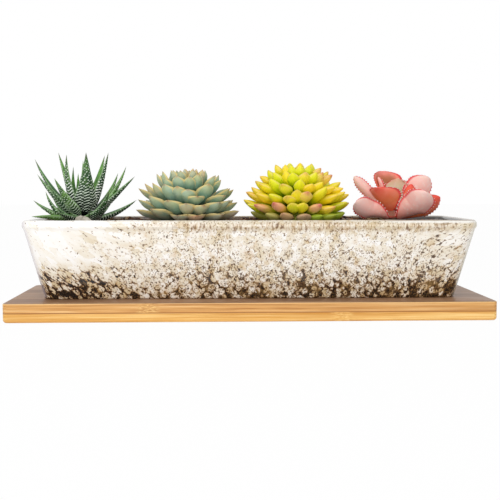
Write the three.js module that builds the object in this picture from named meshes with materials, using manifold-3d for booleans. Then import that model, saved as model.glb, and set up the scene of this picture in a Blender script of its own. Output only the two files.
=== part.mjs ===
// Glazed trough planter with four succulents, standing on a two-ply bamboo saucer.
// Millimetres, +Z up, +X along the trough, -Y is the front. The origin is the middle of the saucer's underside.
import * as THREE from 'three';
import { mergeVertices } from 'three/addons/utils/BufferGeometryUtils.js';
import Module from 'manifold-3d';

const wasm = await Module();
wasm.setup();

// Clearances
const seatGap = 0.3; // between a piece and what it lies on or fits into
const leafGap = 0.3; // between one row of leaves and the rows above it

// Saucer
const plyThickness = 7.5;
const saucerEndMargin = 25.5; // past the foot of the pot at each end
const saucerSideMargin = 24.5; // past the foot of the pot at the front and back
const saucerCornerRadius = 4;
const saucerLowerEdge = 2.5; // rounding under the lower ply
const saucerUpperEdge = 0.8; // rounding on top of the upper ply

// Pot
const potHeight = 63;
const potWidth = 104; // front to back, over the rim
const potTaper = 14.5; // how far each wall leans out from foot to rim
const potCornerRadius = 12; // in plan, at the rim
const wallThickness = 6;
const floorThickness = 7;
const footRecess = 2; // depth of the hollow under the floor
const footWidth = 7; // width of the foot ring round that hollow
const rimBandHeight = 7;
const rimBandProud = 0.7; // how far the band stands out from the wall
const lipWidth = 4.2; // level reach of the lip's outer rounding
const lipHeight = 6.5; // upright reach of that rounding
const lipInnerHeight = 2.4; // upright reach of the rounding into the pot
const leftOverhang = 0.5; // the first plant's leaves past the left end of the rim
const rightClearance = 22.5; // from the last plant's leaves to the right end of the rim

// Drainage
const drainHoleCount = 3;
const drainHoleDiameter = 10;
const meshDiameter = 24;
const meshThickness = 0.8;
const meshSlotWidth = 3;
const meshBarWidth = 2;
const meshSlotsAcross = 4;
const gravelDepth = 9;
const gravelStoneRadius = 5;
const gravelStoneRise = 2.4; // how far the stones stand up out of the bed

// Soil
const soilBelowRim = 9;
const soilMound = 2.5; // how much higher the soil is in the middle than at the walls
const soilShoulder = 14; // width of the slope of the mound
const dressingDepth = 2.5;
const granulePitch = 8.5; // between the points of the bed, of which every other one is a granule's top
const granuleShift = 2.6; // how far a point can be out of line
const granuleRise = 1.6; // how far the highest granules stand up out of the bed
const granuleHeaps = [[82, 15, 3.2], [3, 12, 2.4], [-101, 12, 2.4]]; // x, half the length, rise over the bed
const heapHalfWidth = 12;
const heapInset = 6; // from the inner face of the back wall to the crest of a heap

// Planting
const plantGap = 1; // between the leaf tips of neighbouring plants
const crownAboveDressing = 1.5; // underside of a plant's lowest leaf bases over the dressing
const soilRoundPlug = 4; // soil kept between a root plug and the wall
const soilUnderPlug = 5;
const plugTaper = 3; // a root plug is this much narrower at its foot than at its top, per side
const stemDepth = 12; // how far a stem reaches down into its root plug
const collarRadius = 6;
const leafRooting = 1; // how deep a leaf's base lies in its slice of the stem

// Pebble in front of the first plant
const pebbleLength = 14;
const pebbleWidth = 8;
const pebbleHeight = 8;
const pebbleBedding = 1.2; // how deep it lies in the dressing
const pebbleAside = 6; // to the right of the first plant's axis
const pebbleInset = 10; // from the inner face of the front wall to the pebble's middle

// Leaf forms. Each station is [place along the leaf, share of the width, share of the thickness].
const haworthiaLeaf = {
  stations: [[0, 0.85, 0.9], [0.2, 1, 1], [0.46, 0.66, 0.86], [0.8, 0.24, 0.4]],
  thickness: 4.6,
  topShare: 0.3,
  cup: 0.04,
};
const echeveriaLeaf = {
  stations: [[0, 0.18, 0.6], [0.34, 0.54, 0.75], [0.7, 1, 1], [0.9, 0.74, 0.65]],
  thickness: 4.2,
  topShare: 0.35,
  cup: 0.14,
};
const sedumLeaf = {
  stations: [[0, 0.23, 0.5], [0.46, 0.68, 0.88], [0.82, 1, 1]],
  thickness: 5.6,
  topShare: 0.45,
  cup: 0,
};

// The toothed leaf's outline is a formula: a long oval whose edge steps out and in.
const coralTeeth = 5; // on each edge
const coralToothDepth = 0.07; // share of the width
function coralStations() {
  const stations = [];
  const steps = 2 * coralTeeth;
  for (let step = 0; step < steps; step += 1) {
    const place = step / steps;
    const oval = Math.sin(Math.PI * (0.18 + 0.82 * place) ** 1.5) ** 0.6;
    const tooth = step % 2 === 0 ? 0 : coralToothDepth;
    stations.push([place, oval * (1 - tooth), 1 - 0.55 * place]);
  }
  return stations;
}
const coralLeaf = {
  stations: coralStations(),
  thickness: 2.8,
  topShare: 0.4,
  cup: 0.2,
};

// A leaf's section: a keel below, an edge at each side and a flatter face above. Each corner is
// [share of half the width, share of the thickness on its side of the edges].
const leafSection = [[0, -1], [1, 0], [0.6, 1], [-0.6, 1], [-1, 0]];

// Plants from left to right. Spread is across the leaf tips, height is from the crown up.
// A leaf is [azimuth, reach as a share of half the spread, rise as a share of the height, width in mm, roll].
// Azimuth is in degrees from +X towards the back. Roll, 0 where it isn't given, turns the blade about its own
// length by so many degrees. Rise angle is how steeply a row's leaves leave the stem.
const haworthia = {
  name: 'haworthia',
  leafForm: haworthiaLeaf,
  spread: 86,
  height: 57.3,
  sliceHeight: 6.5,
  color: 0x2f5c37,
  rows: [
    {
      name: 'outer',
      riseAngle: 12,
      stemRadius: 8.4,
      leaves: [
        [180, 0.97, 0.3, 11], [-145, 1.07, 0.08, 10], [4, 0.99, 0.3, 11], [-52, 0.87, 0.44, 13],
        [-66, 1.02, 0.27, 10], [-114, 0.88, 0.14, 10], [-164, 0.7, 0.43, 10], [62, 0.93, 0.26, 12],
        [100, 0.93, 0.21, 12], [142, 0.88, 0.33, 12],
      ],
    },
    {
      name: 'middle',
      riseAngle: 42,
      stemRadius: 7.8,
      leaves: [
        [182, 0.87, 0.68, 11], [-124, 0.86, 0.61, 13.5], [168, 0.98, 0.9, 11.5], [10, 0.82, 0.79, 11.5],
        [-13, 0.99, 0.65, 11.5], [48, 0.77, 0.75, 12], [98, 0.79, 0.7, 12],
      ],
    },
    {
      name: 'inner',
      riseAngle: 66,
      stemRadius: 6.4,
      leaves: [
        [150, 0.61, 1, 11], [-145, 0.34, 0.96, 11.5], [-70, 0.3, 0.98, 15.5], [52, 0.58, 0.96, 11.5],
        [-18, 0.53, 0.99, 11.5], [99, 0.28, 0.88, 9.5],
      ],
    },
  ],
};

const echeveria = {
  name: 'echeveria',
  leafForm: echeveriaLeaf,
  spread: 87,
  height: 43.5,
  sliceHeight: 4.6,
  color: 0x7fa38c,
  rows: [
    { name: 'skirt', riseAngle: -4, stemRadius: 6.6, leaves: ring(11, -100, 0.99, 0.16, 15.6) },
    { name: 'lower', riseAngle: -2, stemRadius: 6.4, leaves: ring(11, -92, 0.96, 0.4, 16) },
    { name: 'middle', riseAngle: 10, stemRadius: 6, leaves: ring(11, -104, 0.83, 0.64, 14.5) },
    { name: 'upper', riseAngle: 26, stemRadius: 5.4, leaves: ring(9, -88, 0.6, 0.86, 12.5) },
    { name: 'inner', riseAngle: 46, stemRadius: 4.2, leaves: ring(6, -74, 0.34, 0.97, 9.5) },
    { name: 'heart', riseAngle: 70, stemRadius: 2.6, leaves: ring(4, -60, 0.15, 1, 6.5) },
  ],
};

const sedum = {
  name: 'sedum',
  leafForm: sedumLeaf,
  spread: 90,
  height: 48,
  sliceHeight: 5,
  color: 0xe6d916,
  rows: [
    { name: 'skirt', riseAngle: -2, stemRadius: 6.6, leaves: ring(11, -85, 0.93, 0.15, 11.5) },
    { name: 'low', riseAngle: 4, stemRadius: 6.6, leaves: ring(13, -100, 0.99, 0.32, 11.5) },
    { name: 'lower', riseAngle: 12, stemRadius: 6.6, leaves: ring(13, -95, 0.96, 0.5, 11.5) },
    { name: 'middle', riseAngle: 22, stemRadius: 6.2, leaves: ring(12, -91, 0.82, 0.67, 11.5) },
    { name: 'upper', riseAngle: 34, stemRadius: 5.6, leaves: ring(10, -102, 0.61, 0.83, 11) },
    { name: 'inner', riseAngle: 50, stemRadius: 4.4, leaves: ring(7, -85, 0.37, 0.95, 9.5) },
    { name: 'heart', riseAngle: 70, stemRadius: 2.8, leaves: ring(3, -70, 0.13, 1, 7) },
  ],
};

const coral = {
  name: 'coral',
  leafForm: coralLeaf,
  spread: 72,
  height: 41.6,
  sliceHeight: 6,
  color: 0xf7857c,
  rows: [
    {
      name: 'outer',
      riseAngle: 4,
      stemRadius: 7.4,
      leaves: [
        [-153, 1.01, 0.31, 22, 30], [-52, 0.99, 0.54, 25, -26], [3, 0.97, 0.43, 20, -40], [46, 0.92, 0.43, 20],
        [94, 0.89, 0.41, 20], [142, 0.92, 0.38, 20],
      ],
    },
    {
      name: 'middle',
      riseAngle: 40,
      stemRadius: 6.6,
      leaves: [
        [-121, 0.64, 0.65, 27, 8], [178, 0.83, 0.89, 13, 60], [-11, 0.69, 0.89, 19, -44], [60, 0.61, 0.82, 20],
      ],
    },
    {
      name: 'heart',
      riseAngle: 60,
      stemRadius: 5.4,
      leaves: [[100, 0.42, 1, 27], [80, 0.14, 0.84, 15], [170, 0.36, 0.88, 9, 20]],
    },
  ],
};

const plants = [haworthia, echeveria, sedum, coral];

// A ring of like leaves, the first one at the given azimuth.
function ring(count, firstAzimuth, reach, rise, width) {
  return Array.from({ length: count }, (_, index) => [firstAzimuth + (360 * index) / count, reach, rise, width]);
}

// Worked-out lengths and heights
const rowLength = plants.reduce((sum, plant) => sum + plant.spread, 0) + plantGap * (plants.length - 1);
const potLength = rowLength - leftOverhang + rightClearance;
const potFootLength = potLength - 2 * potTaper;
const potFootWidth = potWidth - 2 * potTaper;
const saucerLength = potFootLength + 2 * saucerEndMargin;
const saucerWidth = potFootWidth + 2 * saucerSideMargin;
const saucerTop = 2 * plyThickness;
const rimTop = saucerTop + potHeight;
const potFloor = saucerTop + footRecess + floorThickness;
const gravelTop = potFloor + seatGap + gravelDepth;
const soilBottom = gravelTop + gravelStoneRise + seatGap;
const soilEdge = rimTop - soilBelowRim;
const soilCrest = soilEdge + soilMound;
const dressingCrest = soilCrest + dressingDepth;
const crown = dressingCrest + crownAboveDressing;
const plugBottom = soilBottom + soilUnderPlug;
const plugTop = dressingCrest;

const radians = THREE.MathUtils.degToRad;

// Solids

function solidFrom(geometry) {
  const bare = geometry.clone();
  bare.deleteAttribute('normal');
  bare.deleteAttribute('uv');
  const merged = mergeVertices(bare, 1e-4);
  const vertProperties = new Float32Array(merged.attributes.position.array);
  const corners = Array.from(merged.index.array);
  const triVerts = [];
  for (let index = 0; index < corners.length; index += 3) {
    const [a, b, c] = corners.slice(index, index + 3);
    if (a !== b && b !== c && c !== a) triVerts.push(a, b, c);
  }
  return new wasm.Manifold(new wasm.Mesh({
    numProp: 3,
    vertProperties,
    triVerts: new Uint32Array(triVerts),
  }));
}

function geometryFrom(solid) {
  const { vertProperties, triVerts } = solid.getMesh();
  const geometry = new THREE.BufferGeometry();
  geometry.setAttribute('position', new THREE.BufferAttribute(vertProperties, 3));
  geometry.setIndex(new THREE.BufferAttribute(triVerts, 1));
  return geometry;
}

// A trim can leave loose slivers, so only the largest body of a solid is kept.
function largestBody(solid) {
  const bodies = solid.decompose();
  return bodies.reduce((best, body) => (body.volume() > best.volume() ? body : best));
}

function moved(geometry, x, y, z) {
  return geometry.translate(x, y, z);
}

// An upright cylinder or cone from one height to another.
function upright(x, y, low, high, lowRadius, highRadius, sides) {
  const geometry = new THREE.CylinderGeometry(highRadius, lowRadius, high - low, sides);
  return solidFrom(moved(geometry.rotateX(Math.PI / 2), x, y, (low + high) / 2));
}

// A closed skin over rings of points. The last ring may close on a single tip.
function loft(rings, tip) {
  const count = rings[0].length;
  const corners = rings.flat();
  const indices = [];
  for (let row = 0; row + 1 < rings.length; row += 1) {
    for (let side = 0; side < count; side += 1) {
      const a = row * count + side;
      const b = row * count + ((side + 1) % count);
      indices.push(a, b, b + count, a, b + count, a + count);
    }
  }
  const last = (rings.length - 1) * count;
  for (let side = 1; side + 1 < count; side += 1) {
    indices.push(0, side + 1, side);
    if (!tip) indices.push(last, last + side, last + side + 1);
  }
  if (tip) {
    corners.push(tip);
    for (let side = 0; side < count; side += 1) {
      indices.push(last + side, last + ((side + 1) % count), corners.length - 1);
    }
  }
  const geometry = new THREE.BufferGeometry().setFromPoints(corners);
  geometry.setIndex(indices);
  return solidFrom(geometry);
}

// The plan outline of a rounded rectangle at one height.
const cornerSteps = 4;
function planRing(length, width, radius, z) {
  const points = [];
  const middles = [[1, 1], [-1, 1], [-1, -1], [1, -1]];
  middles.forEach(([sideX, sideY], corner) => {
    for (let step = 0; step <= cornerSteps; step += 1) {
      const angle = (corner + step / cornerSteps) * (Math.PI / 2);
      const x = sideX * (length / 2 - radius) + radius * Math.cos(angle);
      const y = sideY * (width / 2 - radius) + radius * Math.sin(angle);
      points.push(new THREE.Vector3(x, y, z));
    }
  });
  return points;
}

// Pot sections. Lean is 0 at the foot and 1 at the rim.
const outerLean = (z) => (z - saucerTop) / potHeight;

function wallRing(z, inset) {
  const taper = potTaper * (1 - outerLean(z));
  const shrink = 2 * (taper + inset);
  const radius = Math.max(potCornerRadius - inset, 1);
  return planRing(potLength - shrink, potWidth - shrink, radius, z);
}

function insideBlock(low, high, gap) {
  return loft([wallRing(low, wallThickness + gap), wallRing(high, wallThickness + gap)]);
}

const planter = new THREE.Group();

function addPiece(name, solid, color, roughness, metalness = 0) {
  const material = new THREE.MeshStandardMaterial({ color, roughness, metalness });
  const mesh = new THREE.Mesh(geometryFrom(solid), material);
  mesh.name = name;
  planter.add(mesh);
  return mesh;
}

// Saucer plies: boards with rounded corners, the lower edge and the upper edge eased.
function easedBoard(low, high, lowerEdge, upperEdge) {
  const board = (inset, z) => planRing(
    saucerLength - 2 * inset,
    saucerWidth - 2 * inset,
    saucerCornerRadius - inset,
    z,
  );
  const rings = [];
  if (lowerEdge > 0) {
    for (const angle of [0, 30, 60]) {
      const inset = lowerEdge * (1 - Math.sin(radians(angle)));
      rings.push(board(inset, low + lowerEdge * (1 - Math.cos(radians(angle)))));
    }
    rings.push(board(0, low + lowerEdge));
  } else {
    rings.push(board(0, low));
  }
  if (upperEdge > 0) {
    rings.push(board(0, high - upperEdge), board(upperEdge, high));
  } else {
    rings.push(board(0, high));
  }
  return loft(rings);
}

function makeSaucer() {
  addPiece('saucer_lower_ply', easedBoard(0, plyThickness, saucerLowerEdge, 0), 0xefc070, 0.45);
  addPiece('saucer_upper_ply', easedBoard(plyThickness, saucerTop, 0, saucerUpperEdge), 0xe0ab5f, 0.45);
}

// Drain holes stand in a row along the middle of the floor.
const drainPitch = potFootLength / drainHoleCount;
const drainPlaces = Array.from({ length: drainHoleCount }, (_, index) => (
  (index - (drainHoleCount - 1) / 2) * drainPitch
));

// Pot: one skin that runs up the outside, over the rounded lip and down the inside.
function makePot() {
  const lipStart = rimTop - lipHeight;
  const bandStart = rimTop - rimBandHeight;
  const footEase = 1.2;
  const bandEase = 1;
  const rings = [
    wallRing(saucerTop, footEase),
    wallRing(saucerTop + footEase, 0),
    wallRing(bandStart - bandEase, 0),
    wallRing(bandStart, -rimBandProud),
    wallRing(lipStart, -rimBandProud),
  ];
  for (const angle of [22, 45, 67, 90]) {
    const across = lipWidth * (1 - Math.cos(radians(angle)));
    rings.push(wallRing(lipStart + lipHeight * Math.sin(radians(angle)), across - rimBandProud));
  }
  const lipCrest = lipWidth - rimBandProud;
  for (const angle of [30, 60]) {
    const across = (wallThickness - lipCrest) * Math.sin(radians(angle));
    rings.push(wallRing(rimTop - lipInnerHeight * (1 - Math.cos(radians(angle))), lipCrest + across));
  }
  const floorEase = 4;
  rings.push(
    wallRing(rimTop - lipInnerHeight, wallThickness),
    wallRing(potFloor + floorEase, wallThickness),
    wallRing(potFloor + floorEase * 0.3, wallThickness + floorEase * 0.3),
    wallRing(potFloor, wallThickness + floorEase),
  );
  let pot = loft(rings);
  const recess = loft([
    wallRing(saucerTop - 1, footWidth),
    wallRing(saucerTop + footRecess, footWidth + 1),
  ]);
  pot = pot.subtract(recess);
  for (const x of drainPlaces) {
    const radius = drainHoleDiameter / 2;
    pot = pot.subtract(upright(x, 0, saucerTop, potFloor + 1, radius, radius, 16));
  }
  addPiece('pot_shell', pot, 0xd9cbb6, 0.2);
}

// Drain mesh: a thin disc with a grid of square slots, one over each hole.
function makeDrainMeshes() {
  const low = potFloor + seatGap;
  const high = low + meshThickness;
  const radius = meshDiameter / 2;
  const pitch = meshSlotWidth + meshBarWidth;
  const half = (meshSlotsAcross - 1) / 2;
  const reach = radius - meshBarWidth - meshSlotWidth / Math.SQRT2;
  let disc = upright(0, 0, low, high, radius, radius, 20);
  for (let column = -half; column <= half; column += 1) {
    for (let row = -half; row <= half; row += 1) {
      if (Math.hypot(column, row) * pitch > reach) continue;
      const slot = new THREE.BoxGeometry(meshSlotWidth, meshSlotWidth, 3 * meshThickness);
      disc = disc.subtract(solidFrom(moved(slot, column * pitch, row * pitch, (low + high) / 2)));
    }
  }
  drainPlaces.forEach((x, index) => {
    const piece = addPiece(`drain_mesh_${index + 1}`, disc, 0x2b2b2b, 0.7);
    piece.position.x = x;
  });
}

// A repeatable spread of numbers from 0 to 1, for scattered stones.
const goldenShare = 0.6180339887;
const silverShare = 0.7548776662;
const bronzeShare = 0.5698402910;
const scatter = (index, share) => (index * share) % 1;

// Gravel: a bed with rounded stones standing out of its top.
function makeGravel() {
  let gravel = insideBlock(potFloor + seatGap, gravelTop, 4);
  const stones = 10;
  const inner = { x: potFootLength / 2 - wallThickness - 12, y: potFootWidth / 2 - wallThickness - 10 };
  for (let index = 0; index < stones; index += 1) {
    const stone = new THREE.IcosahedronGeometry(gravelStoneRadius, 0);
    stone.rotateX(index).rotateZ(index * 2);
    const x = (2 * scatter(index + 0.5, goldenShare) - 1) * inner.x;
    const y = (2 * scatter(index + 0.5, silverShare) - 1) * inner.y;
    gravel = gravel.add(solidFrom(moved(stone, x, y, gravelTop + gravelStoneRise - gravelStoneRadius)));
  }
  const radius = meshDiameter / 2 + seatGap;
  for (const x of drainPlaces) {
    const top = potFloor + meshThickness + 2 * seatGap;
    gravel = gravel.subtract(upright(x, 0, potFloor - 1, top, radius, radius, 16));
  }
  addPiece('drainage_gravel', gravel, 0x8f8a82, 0.95);
}

// The body of the soil up to a mounded top, whose crest is lifted over the level at the walls.
function moundBlock(low, edge, gap) {
  const crest = edge + soilMound;
  const inset = wallThickness + gap;
  return loft([
    wallRing(low, inset),
    wallRing(edge, inset),
    wallRing(edge + soilMound * 0.7, inset + soilShoulder * 0.5),
    wallRing(crest, inset + soilShoulder),
  ]);
}

// Plants stand in a row from the left end, each in the middle of its own spread.
let rowPlace = -potLength / 2 - leftOverhang;
for (const plant of plants) {
  plant.x = rowPlace + plant.spread / 2;
  rowPlace += plant.spread + plantGap;
}

// Root plugs fit between the long walls and beside the nearer end wall, at the depth of their foot.
const innerHalf = (size, z) => size / 2 - potTaper * (1 - outerLean(z)) - wallThickness;
const innerHalfWidth = (z) => innerHalf(potWidth, z);
const innerHalfLength = (z) => innerHalf(potLength, z);
const plugRoomAtEnd = innerHalfLength(plugBottom) - Math.max(...plants.map((plant) => Math.abs(plant.x)));
const plugFootRadius = Math.min(innerHalfWidth(plugBottom), plugRoomAtEnd) - soilRoundPlug;
const plugTopRadius = plugFootRadius + plugTaper;
const plugSides = 16;

// The pocket that a root plug stands in, open at the top so that the plug lifts out.
function pocket(plant) {
  const foot = plugFootRadius + seatGap;
  const head = plugTopRadius + seatGap;
  const over = dressingDepth + granuleRise;
  const widening = (over * plugTaper) / (plugTop - plugBottom);
  return upright(plant.x, 0, plugBottom - seatGap, plugTop + over, foot, head + widening, plugSides);
}

function makeSoil() {
  let soil = moundBlock(soilBottom, soilEdge, seatGap);
  for (const plant of plants) {
    soil = soil.subtract(pocket(plant));
  }
  addPiece('potting_mix', soil, 0x3a2a20, 0.95);
}

// Height of the dressing's surface over a point in the plan.
function dressingLevel(x, y) {
  const fromWall = Math.min(innerHalfWidth(soilEdge) - Math.abs(y), innerHalfLength(soilEdge) - Math.abs(x));
  return soilEdge + dressingDepth + soilMound * THREE.MathUtils.clamp(fromWall / soilShoulder, 0, 1);
}

// The pebble is bedded in the dressing. A grown copy makes its seat.
function pebbleSolid(grow) {
  const x = haworthia.x + pebbleAside;
  const y = -innerHalfWidth(rimTop) + pebbleInset;
  const pebble = new THREE.IcosahedronGeometry(0.5, 1);
  pebble.scale(pebbleLength + 2 * grow, pebbleWidth + 2 * grow, pebbleHeight + 2 * grow);
  return solidFrom(moved(pebble, x, y, dressingLevel(x, y) - pebbleBedding + pebbleHeight / 2));
}

// What the heaps of granules against the back wall add to the bed over a point in the plan.
function heapRise(x, y) {
  const crest = innerHalfWidth(soilEdge) - heapInset;
  const rises = granuleHeaps.map(([middle, halfLength, rise]) => {
    const away = Math.hypot((x - middle) / halfLength, (y - crest) / heapHalfWidth);
    return rise * Math.max(0, 1 - away ** 2);
  });
  return Math.max(...rises);
}

// One point of the bed's surface. The points lie in columns and rows, each a little out of line.
function bedPoint(column, row, index, half, columns, rows) {
  const x = ((2 * column) / columns - 1) * half.x + granuleShift * (scatter(index, goldenShare) - 0.5);
  const y = ((2 * row) / rows - 1) * half.y + granuleShift * (scatter(index, silverShare) - 0.5);
  const isGranule = (column + row) % 2 === 0;
  const rise = isGranule ? granuleRise * (0.5 + 0.5 * scatter(index, bronzeShare)) : 0;
  return new THREE.Vector3(x, y, dressingLevel(x, y) + heapRise(x, y) + rise);
}

// The bed of granules as one block: pointed granules side by side above, flat below.
function granuleBlock(low) {
  const half = { x: innerHalfLength(rimTop), y: innerHalfWidth(rimTop) };
  const columns = Math.round((2 * half.x) / granulePitch);
  const rows = Math.round((2 * half.y) / granulePitch);
  const corner = (column, row) => column * (rows + 1) + row;
  const top = [];
  const indices = [];
  const under = (columns + 1) * (rows + 1);
  for (let column = 0; column <= columns; column += 1) {
    for (let row = 0; row <= rows; row += 1) {
      top.push(bedPoint(column, row, top.length + 0.5, half, columns, rows));
      if (column === columns || row === rows) continue;
      const [a, b] = [corner(column, row), corner(column + 1, row)];
      const [c, d] = [corner(column + 1, row + 1), corner(column, row + 1)];
      if ((column + row) % 2 === 0) indices.push(a, b, d, b, c, d);
      else indices.push(a, b, c, a, c, d);
      indices.push(under + a, under + c, under + b, under + a, under + d, under + c);
    }
  }
  const edge = [];
  for (let column = 0; column < columns; column += 1) edge.push(corner(column, 0));
  for (let row = 0; row < rows; row += 1) edge.push(corner(columns, row));
  for (let column = columns; column > 0; column -= 1) edge.push(corner(column, rows));
  for (let row = rows; row > 0; row -= 1) edge.push(corner(0, row));
  edge.forEach((a, place) => {
    const b = edge[(place + 1) % edge.length];
    indices.push(under + a, under + b, b, under + a, b, a);
  });
  const bottom = top.map((point) => point.clone().setZ(low));
  const geometry = new THREE.BufferGeometry().setFromPoints([...top, ...bottom]);
  geometry.setIndex(indices);
  return solidFrom(geometry);
}

// The top dressing fills the trough from wall to wall and follows the mound of the soil.
function makeDressing() {
  const low = soilEdge - 2 * dressingDepth;
  let dressing = granuleBlock(low).intersect(insideBlock(low - 1, rimTop, seatGap));
  dressing = dressing.subtract(moundBlock(low - 1, soilEdge + seatGap, -seatGap));
  for (const plant of plants) {
    dressing = dressing.subtract(pocket(plant));
  }
  addPiece('top_dressing', dressing.subtract(pebbleSolid(seatGap)), 0x4a2b1f, 0.85);
}

function makePebble() {
  addPiece('pebble', pebbleSolid(0), 0xb9b2a4, 0.8);
}

// Leaves

// One leaf: sections across a curved spine that runs from the stem to the tip.
function leafSolid(plant, row, leaf, baseHeight, grow) {
  const [azimuth, reach, rise, width, roll = 0] = leaf;
  const { stations, thickness, topShare, cup } = plant.leafForm;
  const turn = radians(azimuth);
  const outward = new THREE.Vector3(Math.cos(turn), Math.sin(turn), 0);
  const across = new THREE.Vector3(-Math.sin(turn), Math.cos(turn), 0);
  const base = outward.clone().multiplyScalar(row.stemRadius - leafRooting).setZ(baseHeight);
  const tip = outward.clone().multiplyScalar((reach * plant.spread) / 2 + grow).setZ(rise * plant.height + grow);
  const chord = tip.distanceTo(base);
  const rowAngle = radians(row.riseAngle);
  const control = base.clone().addScaledVector(outward, 0.5 * chord * Math.cos(rowAngle));
  control.z += 0.5 * chord * Math.sin(rowAngle);
  const spine = new THREE.QuadraticBezierCurve3(base, control, tip);
  const rings = stations.map(([place, widthShare, thicknessShare]) => {
    const point = spine.getPoint(place);
    const tangent = spine.getTangent(place);
    const level = across.clone().applyAxisAngle(tangent, radians(roll) * Math.min(2 * place, 1));
    const normal = tangent.clone().cross(level);
    const halfWidth = (width / 2) * widthShare + grow;
    const thick = thickness * thicknessShare;
    const bend = cup * width * widthShare * Math.min(place * 3, 1);
    return leafSection.map(([sideways, up]) => {
      const share = up > 0 ? topShare : 1 - topShare;
      const out = up * (share * thick + grow) + bend * sideways ** 2;
      return point.clone().addScaledVector(level, sideways * halfWidth).addScaledVector(normal, out);
    });
  });
  return loft(rings, tip);
}

// One row of leaves, joined by its slice of the stem.
function rowSolid(plant, rowIndex, grow) {
  const row = plant.rows[rowIndex];
  const low = rowIndex * plant.sliceHeight;
  const high = low + plant.sliceHeight - seatGap;
  const radius = row.stemRadius + grow;
  let solid = upright(0, 0, low - grow, high + grow, radius, radius, 8);
  for (const leaf of row.leaves) {
    solid = solid.add(leafSolid(plant, row, leaf, (low + high) / 2, grow));
  }
  return solid;
}

// A root plug fills its pocket up to the surface of the dressing, and the stem stands in its middle.
function makeRoots(plant) {
  const { name, x } = plant;
  const cone = upright(x, 0, plugBottom, plugTop, plugFootRadius, plugTopRadius, plugSides);
  const socketRadius = collarRadius + seatGap;
  const socket = upright(x, 0, plugTop - stemDepth, plugTop + 1, socketRadius, socketRadius, 10);
  const plug = cone.intersect(moundBlock(soilBottom, soilEdge + dressingDepth, seatGap)).subtract(socket);
  addPiece(`${name}_root_plug`, plug, 0x33241b, 0.95);
  const stemFoot = plugTop - stemDepth + seatGap;
  const stem = upright(x, 0, stemFoot, crown - seatGap, collarRadius * 0.7, collarRadius, 10);
  addPiece(`${name}_stem`, stem, 0x6b5a3c, 0.8);
}

// Each row of leaves is trimmed where a row above it would touch it.
function makeLeaves(plant) {
  const grown = plant.rows.map((row, index) => rowSolid(plant, index, leafGap));
  plant.rows.forEach((row, index) => {
    let solid = rowSolid(plant, index, 0);
    for (const above of grown.slice(index + 1)) {
      solid = solid.subtract(above);
    }
    const piece = addPiece(`${plant.name}_${row.name}_leaves`, largestBody(solid), plant.color, 0.5);
    piece.position.set(plant.x, 0, crown);
  });
}

makeSaucer();
makePot();
makeDrainMeshes();
makeGravel();
makeSoil();
makeDressing();
makePebble();
for (const plant of plants) {
  makeRoots(plant);
  makeLeaves(plant);
}

export default planter;
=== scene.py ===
import math

import bmesh
import bpy
import numpy as np
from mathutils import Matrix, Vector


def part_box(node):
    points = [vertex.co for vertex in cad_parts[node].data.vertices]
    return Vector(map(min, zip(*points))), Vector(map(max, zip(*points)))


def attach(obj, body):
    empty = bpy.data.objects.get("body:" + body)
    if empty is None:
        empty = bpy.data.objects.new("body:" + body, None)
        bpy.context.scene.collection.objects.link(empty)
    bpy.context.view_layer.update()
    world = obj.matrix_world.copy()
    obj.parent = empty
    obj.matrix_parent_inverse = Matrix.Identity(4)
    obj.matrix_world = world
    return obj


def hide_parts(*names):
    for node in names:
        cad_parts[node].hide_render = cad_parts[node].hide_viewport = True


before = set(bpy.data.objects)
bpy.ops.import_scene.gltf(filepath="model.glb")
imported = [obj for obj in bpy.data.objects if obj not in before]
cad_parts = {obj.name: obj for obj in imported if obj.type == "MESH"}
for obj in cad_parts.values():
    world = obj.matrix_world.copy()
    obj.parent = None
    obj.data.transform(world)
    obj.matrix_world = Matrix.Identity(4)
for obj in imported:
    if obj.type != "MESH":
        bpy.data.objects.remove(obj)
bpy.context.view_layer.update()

MM = 0.001

# Camera, found from the pot's rim, its foot and the saucer's edges in the photograph
PHOTO_SIDE = 500
FOCAL_PIXELS = 842
SENSOR = 36
EYE = (-26.9, -703.1, 104.8)
YAW = 2.22
PITCH = 4.38

# Construction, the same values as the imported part
SEAT_GAP = 0.3
PLY = 7.5
WALL = 6
TAPER = 14.5
BAND_PROUD = 0.7
BAND_HEIGHT = 7
CORNER_RADIUS = 12
LIP_WIDTH = 4.2
LIP_HEIGHT = 6.5
LIP_INNER = 2.4
LIP_SHORT = 0.54  # how far the lip's widest line stays inside the walls' planes at the rim
POT_FLOOR = 9
FOOT_RECESS = 2
FOOT_WIDTH = 7
HOLE_RADIUS = 5
SOIL_BELOW_RIM = 9
SOIL_MOUND = 2.5
SOIL_SHOULDER = 14
DRESSING_DEPTH = 2.5
STEM_RADIUS = 6
STEM_SOCKET = 11.5
GRANULE_PITCH = 8.5
GRANULE_SHIFT = 2.6
GRANULE_RISE = 1.6
HEAPS = ((82, 15, 3.2), (3, 12, 2.4), (-101, 12, 2.4))  # x, half the length, rise over the bed
HEAP_DEPTH = 12
HEAP_FROM_WALL = 6

# What only the looks have
FOOT_EASE = 1.4
BAND_EASE = 3  # height of the step from the wall out to the band
BAND_LEAD = 1.2  # how far that step starts below the band
BOARD_CORNER = 4
STRIP_WIDTH = 20.7  # of the bamboo strips on the board's top face
LARGEST_GRANULE = 2.6
SMALL_GRANULES = 2300  # tried over the whole bed
COVER_GRANULES = 230  # on each root plug
ROOTS = 46  # on each root plug

# Steps along a long side, a short side and a corner
POT_STEPS = (300, 90, 12)
BOARD_STEPS = (120, 40, 8)
BED_STEPS = (240, 66)

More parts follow.
